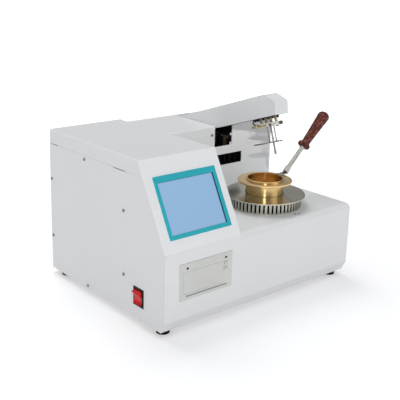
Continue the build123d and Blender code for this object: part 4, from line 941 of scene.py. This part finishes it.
def make_world():
    """A white background; for light an even glow; for reflections the room."""
    world = bpy.data.worlds.new("world")
    bpy.context.scene.world = world
    world.use_nodes = True
    world.node_tree.nodes.clear()
    w = Shading(world.node_tree)
    x, y, z = w.parts(w.node("TexCoord").outputs["Generated"])
    turn = w.span(w.math("ARCTAN2", y, x), 0.0, 1.0, -math.pi, math.pi)
    walls = w.ramp(turn, *((at, grey(level)) for at, level in ROOM))
    room = w.mix(w.span(z, 0.0, 1.0, 0.35, 0.9), walls, grey(CEILING))
    rays = w.node("LightPath").outputs
    glow = w.node("Background", Color=(0.97, 0.985, 1.0, 1), Strength=AMBIENT)
    mirror = w.node("Background", Color=room, Strength=MIRRORED)
    white = w.node("Background", Color=grey(1.0))
    lit = w.blend(rays["Is Glossy Ray"], glow, mirror)
    direct = w.math("MAXIMUM", rays["Is Camera Ray"], rays["Is Transmission Ray"])
    w.node("OutputWorld", Surface=w.blend(direct, lit, white).outputs[0])


FLOOR_HALF = 15.0
FLOOR_BELOW = 0.4 * MM
FLOOR_GLOW = 0.25       # near the tester, to what looks at the floor
FLOOR_FAR_GLOW = 0.75   # from FADE_TO outwards
FLOOR_SPILL = 0.2       # the share of the glow that falls on the tester
FADE_FROM, FADE_TO = 0.35, 2.2


def make_floor():
    """A pale floor that fades to white away from the tester."""
    mesh = bpy.data.meshes.new("floor")
    bm = bmesh.new()
    bmesh.ops.create_grid(bm, x_segments=1, y_segments=1, size=FLOOR_HALF)
    bm.to_mesh(mesh)
    bm.free()
    floor = bpy.data.objects.new("floor", mesh)
    bpy.context.scene.collection.objects.link(floor)
    floor.location.z = -FLOOR_BELOW
    m = Material("floor_paper", (0.86, 0.86, 0.87, 1), 0.9, gloss=0.1)
    m.tint(m.noise(3.0, 3.0), 0.005)
    m.bump(m.noise(400.0), 0.0001, 0.2)
    x, y, z = m.parts(m.place())
    fade = m.span(m.reach(x, y), FLOOR_GLOW, FLOOR_FAR_GLOW, FADE_FROM, FADE_TO)
    rays = m.node("LightPath").outputs
    mirrored = m.math("MAXIMUM", rays["Is Glossy Ray"], rays["Is Transmission Ray"])
    seen = m.math("MAXIMUM", rays["Is Camera Ray"], mirrored)
    m.set("Emission Color", (1, 1, 1, 1))
    m.set("Emission Strength", m.math("MULTIPLY", fade, m.span(seen, FLOOR_SPILL, 1.0)))
    mesh.materials.append(m.mat)


make_camera()
make_world()
make_floor()
make_lights()
bpy.context.scene.view_settings.view_transform = "Standard"
